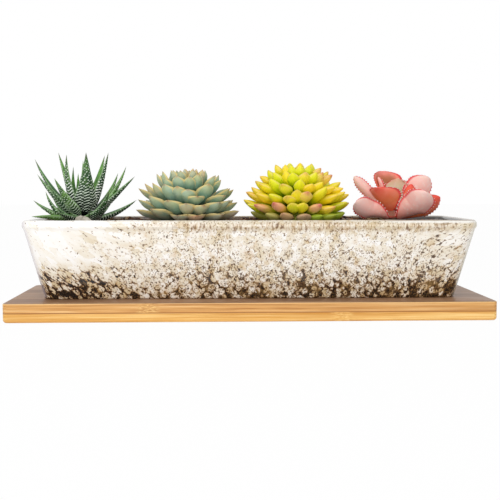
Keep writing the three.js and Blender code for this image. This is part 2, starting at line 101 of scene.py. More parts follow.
# Light: name, place in metres, size in metres and watts of each lamp
LAMPS = (("key", (-0.45, -0.85, 0.95), (0.9, 0.6), 4.8), ("fill", (-0.1, -1.3, 0.16), (1.4, 0.4), 4.0))
LAMP_AIM = (0, 0, 0.08)
WORLD_LIGHT = 0.6  # strength of the white world where it only lights, while it is 1 where it is seen
FLOOR_HALF = 4000
FLOOR_GLOW = 0.96  # share of its own glow in the floor where it is seen


def box(node):
    """Lowest and highest corner of a node, in millimetres."""
    low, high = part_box(node)
    return np.array(low) / MM, np.array(high) / MM


pot_low, pot_high = box("pot_shell")
POT_FOOT = pot_low[2]
RIM = pot_high[2]
HALF_LENGTH = pot_high[0] + LIP_SHORT
HALF_WIDTH = pot_high[1] + LIP_SHORT
SOIL_EDGE = RIM - SOIL_BELOW_RIM


# Meshes

def make_object(name, points, faces, values=None, sharp=None):
    """One smooth piece from points in millimetres, with named numbers on its points."""
    mesh = bpy.data.meshes.new(name)
    mesh.from_pydata((np.asarray(points) * MM).tolist(), [], faces)
    mesh.validate()
    for key, numbers in (values or {}).items():
        mesh.attributes.new(key, "FLOAT", "POINT").data.foreach_set("value", np.asarray(numbers, np.float32))
    mesh.shade_smooth()
    if sharp is not None:
        mesh.set_sharp_from_angle(angle=math.radians(sharp))
    made = bpy.data.objects.new(name, mesh)
    bpy.context.scene.collection.objects.link(made)
    return made


def ring_faces(rings, sides):
    """Faces between rings of points that run anticlockwise about the way they are stacked."""
    ring, side = np.meshgrid(np.arange(rings - 1), np.arange(sides), indexing="ij")
    a = ring * sides + side
    b = ring * sides + (side + 1) % sides
    return np.stack([a, b, b + sides, a + sides], axis=-1).reshape(-1, 4).tolist()


def closed(rings):
    """Points and faces of a solid made of rings, with a flat face at each end."""
    sides = len(rings[0])
    last = (len(rings) - 1) * sides
    caps = [list(range(sides - 1, -1, -1)), list(range(last, last + sides))]
    return np.concatenate(rings), ring_faces(len(rings), sides) + caps


def angles(sides):
    """Even angles right round."""
    return np.arange(sides) * 2 * math.pi / sides


def hoop(radius, z, sides, x=0):
    """A level ring of points about an upright line in the trough's middle plane."""
    turn = angles(sides)
    return np.column_stack([x + radius * np.cos(turn), radius * np.sin(turn), np.full(sides, z)])


class Batch:
    """Gathers the points, faces and point values of many small solids into one piece."""

    def __init__(self):
        self.points = []
        self.faces = []
        self.values = {}
        self.count = 0

    def add(self, points, faces, **values):
        start = self.count
        self.points.append(points)
        self.faces += [[corner + start for corner in face] for face in faces]
        for key, numbers in values.items():
            self.values.setdefault(key, []).append(np.broadcast_to(numbers, (len(points),)))
        self.count += len(points)

    def make(self, name, sharp=None):
        values = {key: np.concatenate(parts) for key, parts in self.values.items()}
        return make_object(name, np.concatenate(self.points), self.faces, values, sharp)


def waves(points, length, seed, count=7):
    """A smooth random field from about -1 to 1, made of sine waves of about one length."""
    draw = np.random.default_rng(seed)
    total = np.zeros(len(points))
    for _ in range(count):
        way = draw.normal(size=3)
        way *= 2 * math.pi / (length * draw.uniform(0.7, 1.4) * np.linalg.norm(way))
        total += np.sin(points @ way + draw.uniform(0, 2 * math.pi))
    return total / math.sqrt(count)


def through(stations, column, places):
    """A smooth curve through the stations that doesn't overshoot them."""
    x = np.array([station[0] for station in stations])
    y = np.array([station[column] for station in stations])
    step = np.diff(x)
    slope = np.diff(y) / step
    tangent = np.concatenate([slope[:1], np.zeros(len(x) - 2), slope[-1:]])
    for index in range(1, len(x) - 1):
        before, after = slope[index - 1], slope[index]
        if before * after > 0:
            tangent[index] = 2 * before * after / (before + after)
    k = np.clip(np.searchsorted(x, places, side="right") - 1, 0, len(step) - 1)
    t = (places - x[k]) / step[k]
    rise = t * t * (3 - 2 * t)
    start = t * (1 - t) ** 2 * step[k] * tangent[k]
    end = t * t * (t - 1) * step[k] * tangent[k + 1]
    return y[k] * (1 - rise) + y[k + 1] * rise + start + end


def cut(piece, cutters):
    """Cuts solids out of a piece for good."""
    for cutter in cutters:
        tool = piece.modifiers.new("cut", "BOOLEAN")
        tool.object = cutter
        tool.operation = "DIFFERENCE"
        tool.solver = "EXACT"
    solid = bpy.data.meshes.new_from_object(piece.evaluated_get(bpy.context.evaluated_depsgraph_get()))
    piece.modifiers.clear()
    piece.data = solid
    for cutter in cutters:
        bpy.data.objects.remove(cutter)


def cone(name, x, low, high, low_radius, high_radius, sides=48):
    """An upright closed cone on the trough's middle line."""
    return make_object(name, *closed([hoop(low_radius, low, sides, x), hoop(high_radius, high, sides, x)]))


# Node materials

def tone(code):
    """A linear colour from a hex code."""
    parts = [int(code[start:start + 2], 16) / 255 for start in (1, 3, 5)]
    linear = [part / 12.92 if part <= 0.04045 else ((part + 0.055) / 1.055) ** 2.4 for part in parts]
    return (*linear, 1)


def node_maths(operation, swapped=False):
    """A signal's operator that adds a node of this operation."""
    def calculate(self, other=0.0):
        return self.paint.math(operation, *((other, self) if swapped else (self, other)))
    return calculate


class Signal:
    """An output of a material's node. Calculating with it adds nodes, and an index picks another output."""

    __add__ = node_maths("ADD")
    __sub__ = node_maths("SUBTRACT")
    __rsub__ = node_maths("SUBTRACT", swapped=True)
    __mul__ = node_maths("MULTIPLY")
    __truediv__ = node_maths("DIVIDE")
    __pow__ = node_maths("POWER")
    __abs__ = node_maths("ABSOLUTE")

    def __init__(self, paint, socket):
        self.paint = paint
        self.socket = socket

    def __getitem__(self, output):
        return Signal(self.paint, self.socket.node.outputs[output])

    def smooth(self, low, high, start=0.0, end=1.0):
        """Start up to the value low, end from the value high on, and a smooth step between them."""
        inputs = {"Value": self, "From Min": low, "From Max": high, "To Min": start, "To Max": end}
        return self.paint.add("ShaderNodeMapRange", inputs, interpolation_type="SMOOTHSTEP")

    def ramp(self, *stops):
        color = self.paint.add("ShaderNodeValToRGB", {0: self})
        elements = color.socket.node.color_ramp.elements
        while len(elements) < len(stops):
            elements.new(0.5)
        for element, (position, code) in zip(elements, stops):
            element.position = position
            element.color = tone(code)
        return color

    def under(self, *layers):
        """This colour under layers of others. A layer is how much it covers, and its colour."""
        color = self
        for cover, layer in layers:
            color = self.paint.mix(cover, color, layer)
        return color


class Paint:
    """Builds one node material. Its texture lengths are in millimetres."""

    def __init__(self, name, **settings):
        self.material = bpy.data.materials.new(name)
        self.material.use_nodes = True
        self.tree = self.material.node_tree
        self.surface = self.tree.nodes["Principled BSDF"]
        for key, value in settings.items():
            self.surface.inputs[key.replace("_", " ").title().replace("Ior", "IOR")].default_value = value
        self.place = self.stretch((1 / MM, 1 / MM, 1 / MM), self.add("ShaderNodeTexCoord", output="Object"))

    def add(self, kind, inputs=None, output=0, **settings):
        node = self.tree.nodes.new(kind)
        for key, value in settings.items():
            setattr(node, key, value)
        for key, value in (inputs or {}).items():
            self.feed(node.inputs[key], value)
        return Signal(self, node.outputs[output])

    def feed(self, socket, value):
        if isinstance(value, Signal):
            self.tree.links.new(value.socket, socket)
        else:
            socket.default_value = tone(value) if isinstance(value, str) else value

    def stretch(self, factors, vector=None):
        return self.add("ShaderNodeVectorMath", {0: vector or self.place, 1: factors}, operation="MULTIPLY")

    def move(self, offset, vector=None):
        return self.add("ShaderNodeVectorMath", {0: vector or self.place, 1: offset}, operation="ADD")

    def axes(self, vector=None):
        return self.add("ShaderNodeSeparateXYZ", {0: vector or self.place})

    def normal(self):
        return self.axes(self.add("ShaderNodeNewGeometry", output="Normal"))

    def vector(self, x, y, z):
        return self.add("ShaderNodeCombineXYZ", {0: x, 1: y, 2: z})

    def math(self, operation, a, b=0.0):
        return self.add("ShaderNodeMath", {0: a, 1: b}, operation=operation)

    def mix(self, factor, a, b):
        return self.add("ShaderNodeMix", {0: factor, 6: a, 7: b}, 2, data_type="RGBA")

    def noise(self, size, detail=2.0, vector=None, distortion=0.0):
        inputs = {"Vector": vector or self.place, "Scale": 1 / size, "Detail": detail}
        return self.add("ShaderNodeTexNoise", {**inputs, "Distortion": distortion})

    def cells(self, size, vector=None):
        return self.add("ShaderNodeTexVoronoi", {"Vector": vector or self.place, "Scale": 1 / size})

    def value(self, name):
        """A number that the piece's points carry."""
        return self.add("ShaderNodeAttribute", output="Fac", attribute_name=name)

    def done(self, color, height=None, distance=0.0, strength=1.0, roughness=None):
        """The material, with its colour and with relief from a height that stands for a distance."""
        self.feed(self.surface.inputs["Base Color"], color)
        if height:
            inputs = {"Height": height, "Distance": distance * MM, "Strength": strength}
            self.feed(self.surface.inputs["Normal"], self.add("ShaderNodeBump", inputs))
        if roughness:
            self.feed(self.surface.inputs["Roughness"], roughness)
        return self.material


def dress(piece, material, body, slot, *nodes):
    """Gives a piece its material and its body, and hides the nodes that it stands for. The slot is not used.
    """
    piece.data.materials.clear()
    piece.data.materials.append(material)
    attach(piece, body)
    if nodes:
        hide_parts(*nodes)


# Outlines of the trough and the saucer

def outline(z, half_x, half_y, radius, steps):
    """A level ring of points: a rounded rectangle with evenly cut long sides, short sides and corners."""
    long_steps, short_steps, corner_steps = steps
    arcs = []
    for corner, (side_x, side_y) in enumerate(((1, 1), (-1, 1), (-1, -1), (1, -1))):
        angle = (corner + np.arange(corner_steps + 1) / corner_steps) * math.pi / 2
        arcs.append(np.column_stack([
            side_x * (half_x - radius) + radius * np.cos(angle),
            side_y * (half_y - radius) + radius * np.sin(angle),
            np.full(len(angle), z),
        ]))
    parts = []
    for corner, arc in enumerate(arcs):
        count = short_steps if corner % 2 else long_steps
        start, end = arc[-1], arcs[(corner + 1) % 4][0]
        parts += [arc, start + (end - start) * np.arange(1, count)[:, None] / count]
    return np.concatenate(parts)


def taper(z):
    """How far the walls' planes lie further in at a height than at the rim."""
    return TAPER * (1 - (z - POT_FOOT) / (RIM - POT_FOOT))


def wall_ring(z, inset, steps):
    """The trough's outline at one height, moved inwards by the inset."""
    moved = taper(z) + inset
    return outline(z, HALF_LENGTH - moved, HALF_WIDTH - moved, max(CORNER_RADIUS - inset, 1), steps)


# Pot

def glaze_material():
    """Cream glaze over dark brown: pale blobs in a dark net low down, fine brown specks higher up."""
    paint = Paint("mottled_glaze", coat_weight=0.3, coat_roughness=0.08)
    x, y, z = paint.axes()
    far = abs(x)
    height = z - POT_FOOT

    # Towards the ends the glaze has run outwards and down, so the pattern is sheared and drawn out
    lean = x.smooth(-60, -165, 0.0, -0.62) + x.smooth(130, 175, 0.0, 0.4)
    flow = paint.vector(x - lean * height, y, height * far.smooth(80, 175, 0.92, 0.68))
    shift = paint.move((-0.5, -0.5, -0.5), paint.noise(2.6, 3.0, flow)[1])
    flow = paint.move(paint.stretch((3.1, 3.1, 3.1), shift), flow)
    coarse = paint.cells(4.2, flow)
    fine = paint.cells(1.6, flow)

    # How far the dark glaze shows, from 1 at the foot down to little under the rim
    patches = paint.noise(26, 2.0, flow) - 0.5
    small_patches = paint.noise(9, 3.0, flow) - 0.5
    depth = (height / (RIM - POT_FOOT)).ramp(
        (0.0, "#ffffff"), (0.12, "#e4e4e4"), (0.22, "#bebebe"), (0.32, "#989898"), (0.44, "#747474"),
        (0.56, "#4e4e4e"), (0.72, "#3a3a3a"), (0.86, "#3a3a3a"), (1.0, "#464646"),
    )
    depth = depth ** 0.45 + (patches * 0.7 + small_patches * 0.75)
    depth = depth + far.smooth(95, 170) * height.smooth(38, 8) * 0.3
    # The upper left end is kept nearly free of the dark net: a painted highlight
    depth = depth - x.smooth(-95, -150) * height.smooth(22, 34) * 0.7

    # A place is dark by how far it lies from the middle of its cell
    over = coarse - (1.06 - depth * 0.5) - height.smooth(15, 34, 0.0, 0.3)
    over = paint.math("MAXIMUM", over, fine - (0.95 - depth * 0.3))
    tint = paint.axes(coarse[1])[0] * 0.5 + depth * 0.32 + small_patches * 0.6
    cream = tint.ramp(
        (0.0, "#fefcf9"), (0.3, "#f8f3e9"), (0.55, "#ebe0cb"), (0.8, "#dac69f"), (1.0, "#c4a473"),
    )

    # Fine freckles all over, but for the clear left end, whose clearness is a painted highlight
    specks = paint.cells(1.15, paint.move((40, 0, 9), flow))
    crowd = small_patches * 1.5 + x.smooth(-135, -70, -0.55, 0.0) + height.smooth(52, 20, 0.0, 0.25)
    speck = specks + paint.axes(specks[1])[1] * 0.25 - 0.86 + crowd * 0.35

    # Tan stains hang from the rim in the middle and at the right
    on_band = z.smooth(RIM - BAND_HEIGHT - 4, RIM - BAND_HEIGHT + 1)
    drawn_down = paint.stretch((1, 1, 0.3))
    rim_patches = paint.noise(30, 1.0, paint.move((0, 300, 0)))
    stain = paint.noise(1.7, 4.0, drawn_down).smooth(0.4, 0.6) * rim_patches.smooth(0.32, 0.52)
    stain = stain * x.smooth(-120, -40) * (on_band * z.smooth(RIM - 0.6, RIM - 3))
    dark_stain = stain * paint.noise(1.7, 2.0, drawn_down).smooth(0.54, 0.66)
    tan = paint.noise(7, 4.0, flow).smooth(0.54, 0.72) * x.smooth(-150, -60)

    # The lip carries a painted highlight on the right, and the rounded corners a painted grey reflection of
    # the room
    painted_lip_highlight = x.smooth(95, 125) * z.smooth(RIM - 3.2, RIM - 1.4)
    brown_line = x.smooth(90, 115) * z.smooth(RIM - 1.0, RIM - 0.6)
    sideways = abs(paint.normal()[0])
    corner = sideways.smooth(0.5, 0.9, 0.0, 0.6) * sideways.smooth(0.962, 0.946)

    # Inside the trough the glaze is painted darker with depth, as painted shade in the hollow, and dark grey
    # at the right end; its brown and pale spots are the glaze's own
    right_end = x.smooth(118, 140)
    spots = paint.noise(4.5, 3.0).smooth(0.47, 0.58) * (1.0 - right_end * 0.8)
    pale_spots = paint.noise(5.5, 3.0, paint.move((70, 0, 0))).smooth(0.56, 0.64) * (1.0 - right_end)
    inner = paint.mix(right_end, "#6b4f34", "#4d4845")
    inner = inner.under((spots * 0.85, "#331c11"), (pale_spots * 0.5, "#cdb88f"))

    bare = paint.value("bare")
    clay = paint.mix(paint.noise(1.5, 3.0), "#b9a07d", "#d4bf9f")
    color = cream.under(
        (over.smooth(-0.15, 0.0, 0.0, 0.6), "#c59a5c"),
        (over.smooth(-0.05, 0.06), "#5f3817"),
        (over.smooth(0.02, 0.12), "#140903"),
        (speck.smooth(-0.1, 0.06, 0.0, 0.5), "#bb9157"),
        (speck.smooth(0.03, 0.12, 0.0, 0.9), "#3c210e"),
        (on_band * x.smooth(-130, -30, 0.0, 0.4), "#cdb88c"),
        (stain * 0.5, "#b98c4c"),
        (dark_stain * 0.8, "#5f3a18"),
        (tan * 0.34, "#cfa768"),
        # painted highlight along the lip on the right
        (painted_lip_highlight * 0.75, "#fffdf8"),
        (brown_line * 0.6, "#8a6c44"),
        # painted grey reflection on the rounded corners, where they turn sideways
        (corner, paint.mix(x.smooth(-50, 50), "#cfc6d0", "#c9c4ae")),
        # painted shade inside the trough
        (paint.value("inside") * z.smooth(RIM - 0.1, RIM - 1.5), inner),
        (bare, clay),
    )
    relief = paint.noise(1.2, 2.0) * 0.3 - over.smooth(-0.2, 0.2)
    return paint.done(color, relief, 0.14, 0.5, bare * 0.6 + paint.noise(9) * 0.3)


def make_pot():
    rings = []
    inside = []
    bare = []

    def ring(z, inset, is_inside=0.0, is_bare=0.0):
        rings.append(wall_ring(z, inset, POT_STEPS))
        inside.append(is_inside)
        bare.append(is_bare)

    foot_ring = ((FOOT_RECESS, FOOT_WIDTH + 1), (0.4, FOOT_WIDTH + 0.1), (0, FOOT_WIDTH - 0.6), (0, 1.6))
    for rise, inset in foot_ring:
        ring(POT_FOOT + rise, inset, is_bare=1)
    for angle in np.radians((20, 45, 70)):
        ring(POT_FOOT + FOOT_EASE * (1 - math.cos(angle)), FOOT_EASE * (1 - math.sin(angle)))
    band_start = RIM - BAND_HEIGHT
    for z in np.linspace(POT_FOOT + FOOT_EASE, band_start - BAND_LEAD, 44):
        ring(z, 0)
    for share in (0.2, 0.4, 0.6, 0.8, 1.0):
        ease = share * share * (3 - 2 * share)
        ring(band_start - BAND_LEAD + BAND_EASE * share, -BAND_PROUD * ease)
    lip_start = RIM - LIP_HEIGHT
    quarter = np.radians(np.arange(20, 91, 7))
    for angle in quarter:
        ring(lip_start + LIP_HEIGHT * math.sin(angle), LIP_WIDTH * (1 - math.cos(angle)) - BAND_PROUD)
    inner_width = WALL + BAND_PROUD - LIP_WIDTH
    for angle in quarter:
        across = inner_width * math.sin(angle)
        ring(RIM - LIP_INNER * (1 - math.cos(angle)), LIP_WIDTH + across - BAND_PROUD, 1)
    floor = POT_FOOT + POT_FLOOR
    upper = np.linspace(RIM - LIP_INNER - 0.8, lip_start - 9, 10)
    for z in (*upper, *np.linspace(lip_start - 15, floor + 4, 6)):
        ring(z, WALL, 1)
    ring(floor + 1.2, WALL + 1.2, 1)
    ring(floor, WALL + 4, 1)
    points, faces = closed(rings)
    inside = np.repeat(inside, len(rings[0]))
    bare = np.repeat(bare, len(rings[0]))

    # The hand-dipped glaze leaves the walls slightly uneven
    out = points[:, :2] / np.linalg.norm(points[:, :2] / (HALF_LENGTH, HALF_WIDTH), axis=1)[:, None]
    out = np.column_stack([out[:, 0] / HALF_LENGTH ** 2, out[:, 1] / HALF_WIDTH ** 2])
    out /= np.linalg.norm(out, axis=1)[:, None]
    glazed = np.clip((points[:, 2] - POT_FOOT) / 3, 0, 1) * (1 - inside)
    uneven = 0.1 * waves(points, 46, 11) + 0.07 * waves(points, 9, 12) + 0.06 * waves(points, 4, 13)
    points[:, :2] += out * (np.minimum(uneven, 0.1) * glazed)[:, None]
    on_lip = np.clip((points[:, 2] - lip_start) / LIP_HEIGHT, 0, 1)
    points[:, 2] -= on_lip * (0.12 + 0.1 * waves(points, 30, 14))

    pot = make_object("glazed_trough", points, faces, {"inside": inside, "bare": bare}, sharp=50)
    cutters = []
    for index in (1, 2, 3):
        low, high = box(f"drain_mesh_{index}")
        x = (low[0] + high[0]) / 2
        cutters.append(cone(f"hole_{index}", x, POT_FOOT - 2, floor + 3, HOLE_RADIUS, HOLE_RADIUS))
    cut(pot, cutters)
    dress(pot, glaze_material(), "pot", "mottled_glaze", "pot_shell")


# Saucer

def bamboo_material(name, base, light, shade, node_x, node_seed):
    """Bamboo with fine grain along X, one node across it and a top face painted duller and browner, as
    painted shade.
    """
    paint = Paint(name, specular_ior_level=0.35)
    x, y, z = paint.axes()
    own = (node_seed * 40, 0, 0)
    strands = paint.noise(0.4, 2.0, paint.stretch((0.012, 1.2, 1.0)))
    wave = paint.noise(1.7, 2.0, paint.move(own, paint.stretch((0.016, 0.7, 1.0))))
    broad = paint.noise(5, 2.0, paint.move(own, paint.stretch((0.05, 0.6, 1.0))))
    grain = strands * 0.4 + wave * 0.6

    # The node is a short stretch of wavy fibres with a faint line across it
    near_node = abs(x - node_x).smooth(11, 3)
    wavy = paint.noise(1.3, 3.0, paint.move((node_seed, 0, 0), paint.stretch((0.22, 1, 1.6))), 1.5)
    color = grain.ramp((0.38, shade), (0.475, base), (0.525, base), (0.6, light)).under(
        (broad.smooth(0.46, 0.7, 0.0, 0.5), shade),
        (abs(z - PLY).smooth(0.75, 0.25) * 0.7, "#a3632c"),
        # The light line along the top edge is a painted highlight
        (z.smooth(2 * PLY - 0.9, 2 * PLY - 0.5) * 0.6, "#ffd99a"),
        (near_node * 0.75, wavy.ramp((0.35, shade), (0.5, base), (0.62, "#ffdf94"))),
    )

    # Seen from above the board is painted darker, as painted shade on the top face, in strips
    strips = (y + 200) / STRIP_WIDTH
    joint = abs(paint.math("FRACT", strips) - 0.5).smooth(0.478, 0.494)
    strip_tint = paint.noise(1.0, 0.0, paint.vector(x * 0.01, paint.math("FLOOR", strips) * 7.7, 0.0))
    top_grain = paint.noise(0.7, 3.0, paint.stretch((0.012, 1, 1)))
    top = (strip_tint * 0.55 + top_grain * 0.45).ramp((0.3, "#7f5c40"), (0.5, "#967052"), (0.7, "#ab8463"))
    # painted shade: the darker colour of the top face
    color = color.under((paint.normal()[2].smooth(0.6, 0.95), top.under((joint * 0.5, "#6d5243"))))
    return paint.done(color, grain, 0.12, 0.5, grain.smooth(0.3, 0.7, 0.5, 0.36))


def make_board(name, node, slot, lower_edge, upper_edge, material):
    low, high = box(node)
    eighths = np.linspace(0, math.pi / 2, 6)
    short = 1 - np.sin(eighths)
    rise = 1 - np.cos(eighths)
    levels = [*zip(low[2] + lower_edge * rise, lower_edge * short)]
    levels += [(z, 0) for z in np.linspace(low[2] + lower_edge, high[2] - upper_edge, 5)[1:-1]]
    levels += zip(high[2] - upper_edge * short, upper_edge * rise)
    rings = [
        outline(z, high[0] - inset, high[1] - inset, BOARD_CORNER - inset, BOARD_STEPS) for z, inset in levels
    ]
    dress(make_object(name, *closed(rings), sharp=40), material, "saucer", slot, node)


def make_saucer():
    upper = bamboo_material("bamboo_upper", "#dda661", "#efc385", "#b87d40", -80, 3)
    lower = bamboo_material("bamboo_lower", "#ecb969", "#fbd48c", "#d2943f", 69, 8)
    make_board("upper_board", "saucer_upper_ply", "bamboo_upper", 0.25, 0.9, upper)
    make_board("lower_board", "saucer_lower_ply", "bamboo_lower", 2.4, 0.25, lower)


# Dressing, stones and soil

def inner_half(z):
    """Half the length and half the width inside the walls at one height."""
    return HALF_LENGTH - taper(z) - WALL, HALF_WIDTH - taper(z) - WALL


def dressing_level(x, y):
    """Height of the bed of granules, mounded away from the walls."""
    half_x, half_y = inner_half(SOIL_EDGE)
    from_wall = np.minimum(half_y - np.abs(y), half_x - np.abs(x))
    return SOIL_EDGE + DRESSING_DEPTH + SOIL_MOUND * np.clip(from_wall / SOIL_SHOULDER, 0, 1)


def stone_shape(detail):
    """Corners and triangles of a rounded stone of radius 1."""
    mesh = bmesh.new()
    bmesh.ops.create_icosphere(mesh, subdivisions=detail, radius=1)
    points = np.array([vertex.co[:] for vertex in mesh.verts])
    faces = [[vertex.index for vertex in face.verts] for face in mesh.faces]
    mesh.free()
    return points, faces


def turned(points, draw):
    """Points after a random turn."""
    matrix, _ = np.linalg.qr(draw.normal(size=(3, 3)))
    return points @ (matrix * np.sign(np.linalg.det(matrix)))


granule_points, granule_faces = stone_shape(2)


def add_granule(batch, x, y, z, radius, draw):
    lumps = 1 + 0.16 * waves(granule_points, 1.6, int(draw.integers(1 << 30)), 4)
    shape = granule_points * lumps[:, None] * (radius * draw.uniform(0.75, 1.15, 3))
    batch.add(turned(shape, draw) + (x, y, z), granule_faces, tint=draw.uniform())


def granule_material():
    paint = Paint("dark_granules", roughness=0.85)
    color = paint.value("tint").ramp(
        (0.0, "#180c07"), (0.35, "#3a1f13"), (0.6, "#58321d"), (0.85, "#7d4c2b"),
        (0.96, "#a57c54"), (1.0, "#d0b894"),
    )
    dust = paint.noise(0.9, 3.0).smooth(0.45, 0.75)
    return paint.done(color.under((dust * 0.4, "#7a5a44")), paint.noise(0.5, 3.0), 0.3, 0.8)


def soil_material(name, dark, light):
    paint = Paint(name, roughness=0.95)
    crumbs = paint.cells(2.2)
    fine = paint.noise(0.8, 4.0)
    color = (paint.axes(crumbs[1])[0] * 0.5 + fine * 0.5).ramp((0.2, dark), (0.6, light), (0.8, dark))
    perlite = paint.axes(paint.cells(3.5)[1])[1].smooth(0.93, 0.95)
    return paint.done(color.under((perlite * 0.7, "#b9b2a6")), crumbs * -0.7 + fine * 0.5, 1.0, 0.9)


PLANT_NAMES = ("haworthia", "echeveria", "sedum", "coral")


def plant_axis(name):
    low, high = box(f"{name}_stem")
    return (low[0] + high[0]) / 2, high[2] + SEAT_GAP


def plug_size(name):
    """Foot height, foot radius, top height and top radius of a root plug."""
    low, high = box(f"{name}_root_plug")
    top_radius = (high[0] - low[0]) / 2
    return low[2], top_radius - 3, high[2], top_radius


def spread(index, share):
    """Evenly spread numbers from 0 to 1, for shares that are far from any fraction."""
    return (index * share) % 1


def granule_tops():
    """The raised points of the bed, as the solid has them: x, y and how far each one stands up."""
    half_x, half_y = inner_half(RIM)
    columns = round(2 * half_x / GRANULE_PITCH)
    rows = round(2 * half_y / GRANULE_PITCH)
    tops = []
    for column in range(columns + 1):
        for row in range(rows + 1):
            index = column * (rows + 1) + row + 0.5
            x = (2 * column / columns - 1) * half_x + GRANULE_SHIFT * (spread(index, 0.6180339887) - 0.5)
            y = (2 * row / rows - 1) * half_y + GRANULE_SHIFT * (spread(index, 0.7548776662) - 0.5)
            if (column + row) % 2 == 0:
                tops.append((x, y, GRANULE_RISE * (0.5 + 0.5 * spread(index, 0.5698402910))))
    return np.array(tops)


def heap_rise(x, y):
    """What the heaps of granules against the back wall add."""
    crest = inner_half(SOIL_EDGE)[1] - HEAP_FROM_WALL
    rises = [
        rise * np.maximum(0, 1 - ((x - middle) / half_length) ** 2 - ((y - crest) / HEAP_DEPTH) ** 2)
        for middle, half_length, rise in HEAPS
    ]
    return np.max(rises, axis=0)


def bed_height(x, y):
    """Height of the bed: the mound, its heaps and the rise of the nearest granule."""
    x, y = np.atleast_1d(x), np.atleast_1d(y)
    tops = granule_tops()
    rise = np.zeros(len(x))
    for top_x, top_y, top_rise in tops:
        away = np.abs(x - top_x) + np.abs(y - top_y)
        rise = np.maximum(rise, top_rise * (1 - away / GRANULE_PITCH))
    return dressing_level(x, y) + heap_rise(x, y) + rise


def make_bed():
    """The bed of fine granules: a thin uneven layer on the soil, with a pocket at each plant."""
    half_x, half_y = inner_half(SOIL_EDGE - 1)
    steps_x, steps_y = BED_STEPS
    grid = np.meshgrid(np.linspace(-1, 1, steps_x), np.linspace(-1, 1, steps_y), indexing="ij")
    x = grid[0].ravel() * (half_x - SEAT_GAP)
    y = grid[1].ravel() * (half_y - SEAT_GAP)
    level = dressing_level(x, y)
    flat = np.column_stack([x, y, level])
    top = bed_height(x, y) - 0.15 + 0.15 * waves(flat, 7, 21) + 0.15 * waves(flat, 3, 22)
    under = level - DRESSING_DEPTH + 0.1
    points = np.concatenate([np.column_stack([x, y, top]), np.column_stack([x, y, under])])
    count = steps_x * steps_y
    faces = []
    for i in range(steps_x - 1):
        for j in range(steps_y - 1):
            a = i * steps_y + j
            faces.append([a, a + steps_y, a + steps_y + 1, a + 1])
            faces.append([a + count, a + 1 + count, a + steps_y + 1 + count, a + steps_y + count])
    rim = [i * steps_y for i in range(steps_x)]
    rim += [(steps_x - 1) * steps_y + j for j in range(1, steps_y)]
    rim += [i * steps_y + steps_y - 1 for i in range(steps_x - 2, -1, -1)]
    rim += range(steps_y - 2, 0, -1)
    for a, b in zip(rim, rim[1:] + rim[:1]):
        faces.append([b, a, a + count, b + count])
    bed = make_object("granule_bed", points, faces)
    cutters = []
    for name in PLANT_NAMES:
        foot, foot_radius, head, head_radius = plug_size(name)
        x, _ = plant_axis(name)
        cutters.append(cone(f"pocket_{name}", x, foot, head + 8, foot_radius + SEAT_GAP, head_radius + 1.2))
    cut(bed, cutters)
    dress(bed, soil_material("granule_bed", "#22130d", "#4a2d20"), "pot", "dark_granules", "top_dressing")


def make_granules(material):
    """Loose granules on the bed, clear of the plants' pockets."""
    draw = np.random.default_rng(5)
    batch = Batch()
    half_x, half_y = inner_half(SOIL_EDGE)
    keep = plug_size("coral")[3] + LARGEST_GRANULE
    centres = [plant_axis(name)[0] for name in PLANT_NAMES]

    def is_free(x, y):
        inside = abs(x) < half_x - 2 and abs(y) < half_y - 2
        return inside and min(math.hypot(x - centre, y) for centre in centres) > keep

    spots = []
    reach = np.array((half_x, half_y)) - LARGEST_GRANULE
    for top in granule_tops():
        radius = draw.uniform(2.0, LARGEST_GRANULE)
        spots.append((*np.clip(top[:2], -reach, reach), radius, 0.3 - radius))
    for _ in range(SMALL_GRANULES):
        radius = draw.uniform(0.8, 1.7)
        x, y = draw.uniform(-1, 1, 2) * (half_x - 2.4, half_y - 2.4)
        spots.append((x, y, radius, draw.uniform(-0.6, 0.1) * radius))

    # More of them on the heaps against the back wall, which show over the front rim
    for middle, half_length, _ in HEAPS:
        for _ in range(int(9 * half_length)):
            x = middle + draw.uniform(-1.2, 1.2) * half_length
            y = half_y - 2.2 - abs(draw.normal()) * 5
            radius = draw.uniform(0.9, 1.7)
            spots.append((x, y, radius, draw.uniform(-0.5, 0.35) * radius))
    spots = np.array([spot for spot in spots if is_free(spot[0], spot[1])])
    levels = bed_height(spots[:, 0], spots[:, 1])
    for (x, y, radius, lift), level in zip(spots, levels):
        add_granule(batch, x, y, level + lift, radius, draw)
    dress(batch.make("loose_granules"), material, "pot", "dark_granules")


def make_pebble():
    low, high = box("pebble")
    middle, half = (low + high) / 2, (high - low) / 2
    points, faces = stone_shape(5)
    shape = points * (1 + 0.08 * waves(points, 1.7, 31, 5) + 0.03 * waves(points, 0.6, 32, 5))[:, None]
    shape[:, 2] *= 1 + points[:, 0] * -0.35 * (points[:, 2] > 0)
    stone = make_object("pale_stone", middle + shape * half * (1, 1, 1.25), faces)
    paint = Paint("pale_pebble", roughness=0.7)
    color = paint.noise(3, 4.0, None, 1.0).ramp((0.3, "#8d8677"), (0.5, "#b5afa0"), (0.7, "#d2cdc0"))
    color = color.under((paint.noise(0.6, 3.0).smooth(0.6, 0.75, 0.0, 0.5), "#7d7465"))
    material = paint.done(color, paint.noise(0.7, 4.0), 0.2, 0.6)
    dress(stone, material, "pot", "pale_pebble", "pebble")


def tube(path, radius, sides=6):
    """Points and faces of a round strand along a path, thinner at its ends."""
    way = np.gradient(path, axis=0)
    way /= np.linalg.norm(way, axis=1)[:, None]
    first = np.cross(way, (0.31, 0.17, 0.93))
    first /= np.linalg.norm(first, axis=1)[:, None]
    second = np.cross(way, first)
    angle = angles(sides)[None, :, None]
    thick = radius * (0.35 + 0.65 * np.sin(math.pi * np.linspace(0, 1, len(path))) ** 0.5)
    ring = np.cos(angle) * first[:, None, :] + np.sin(angle) * second[:, None, :]
    return closed(path[:, None, :] + ring * thick[:, None, None])


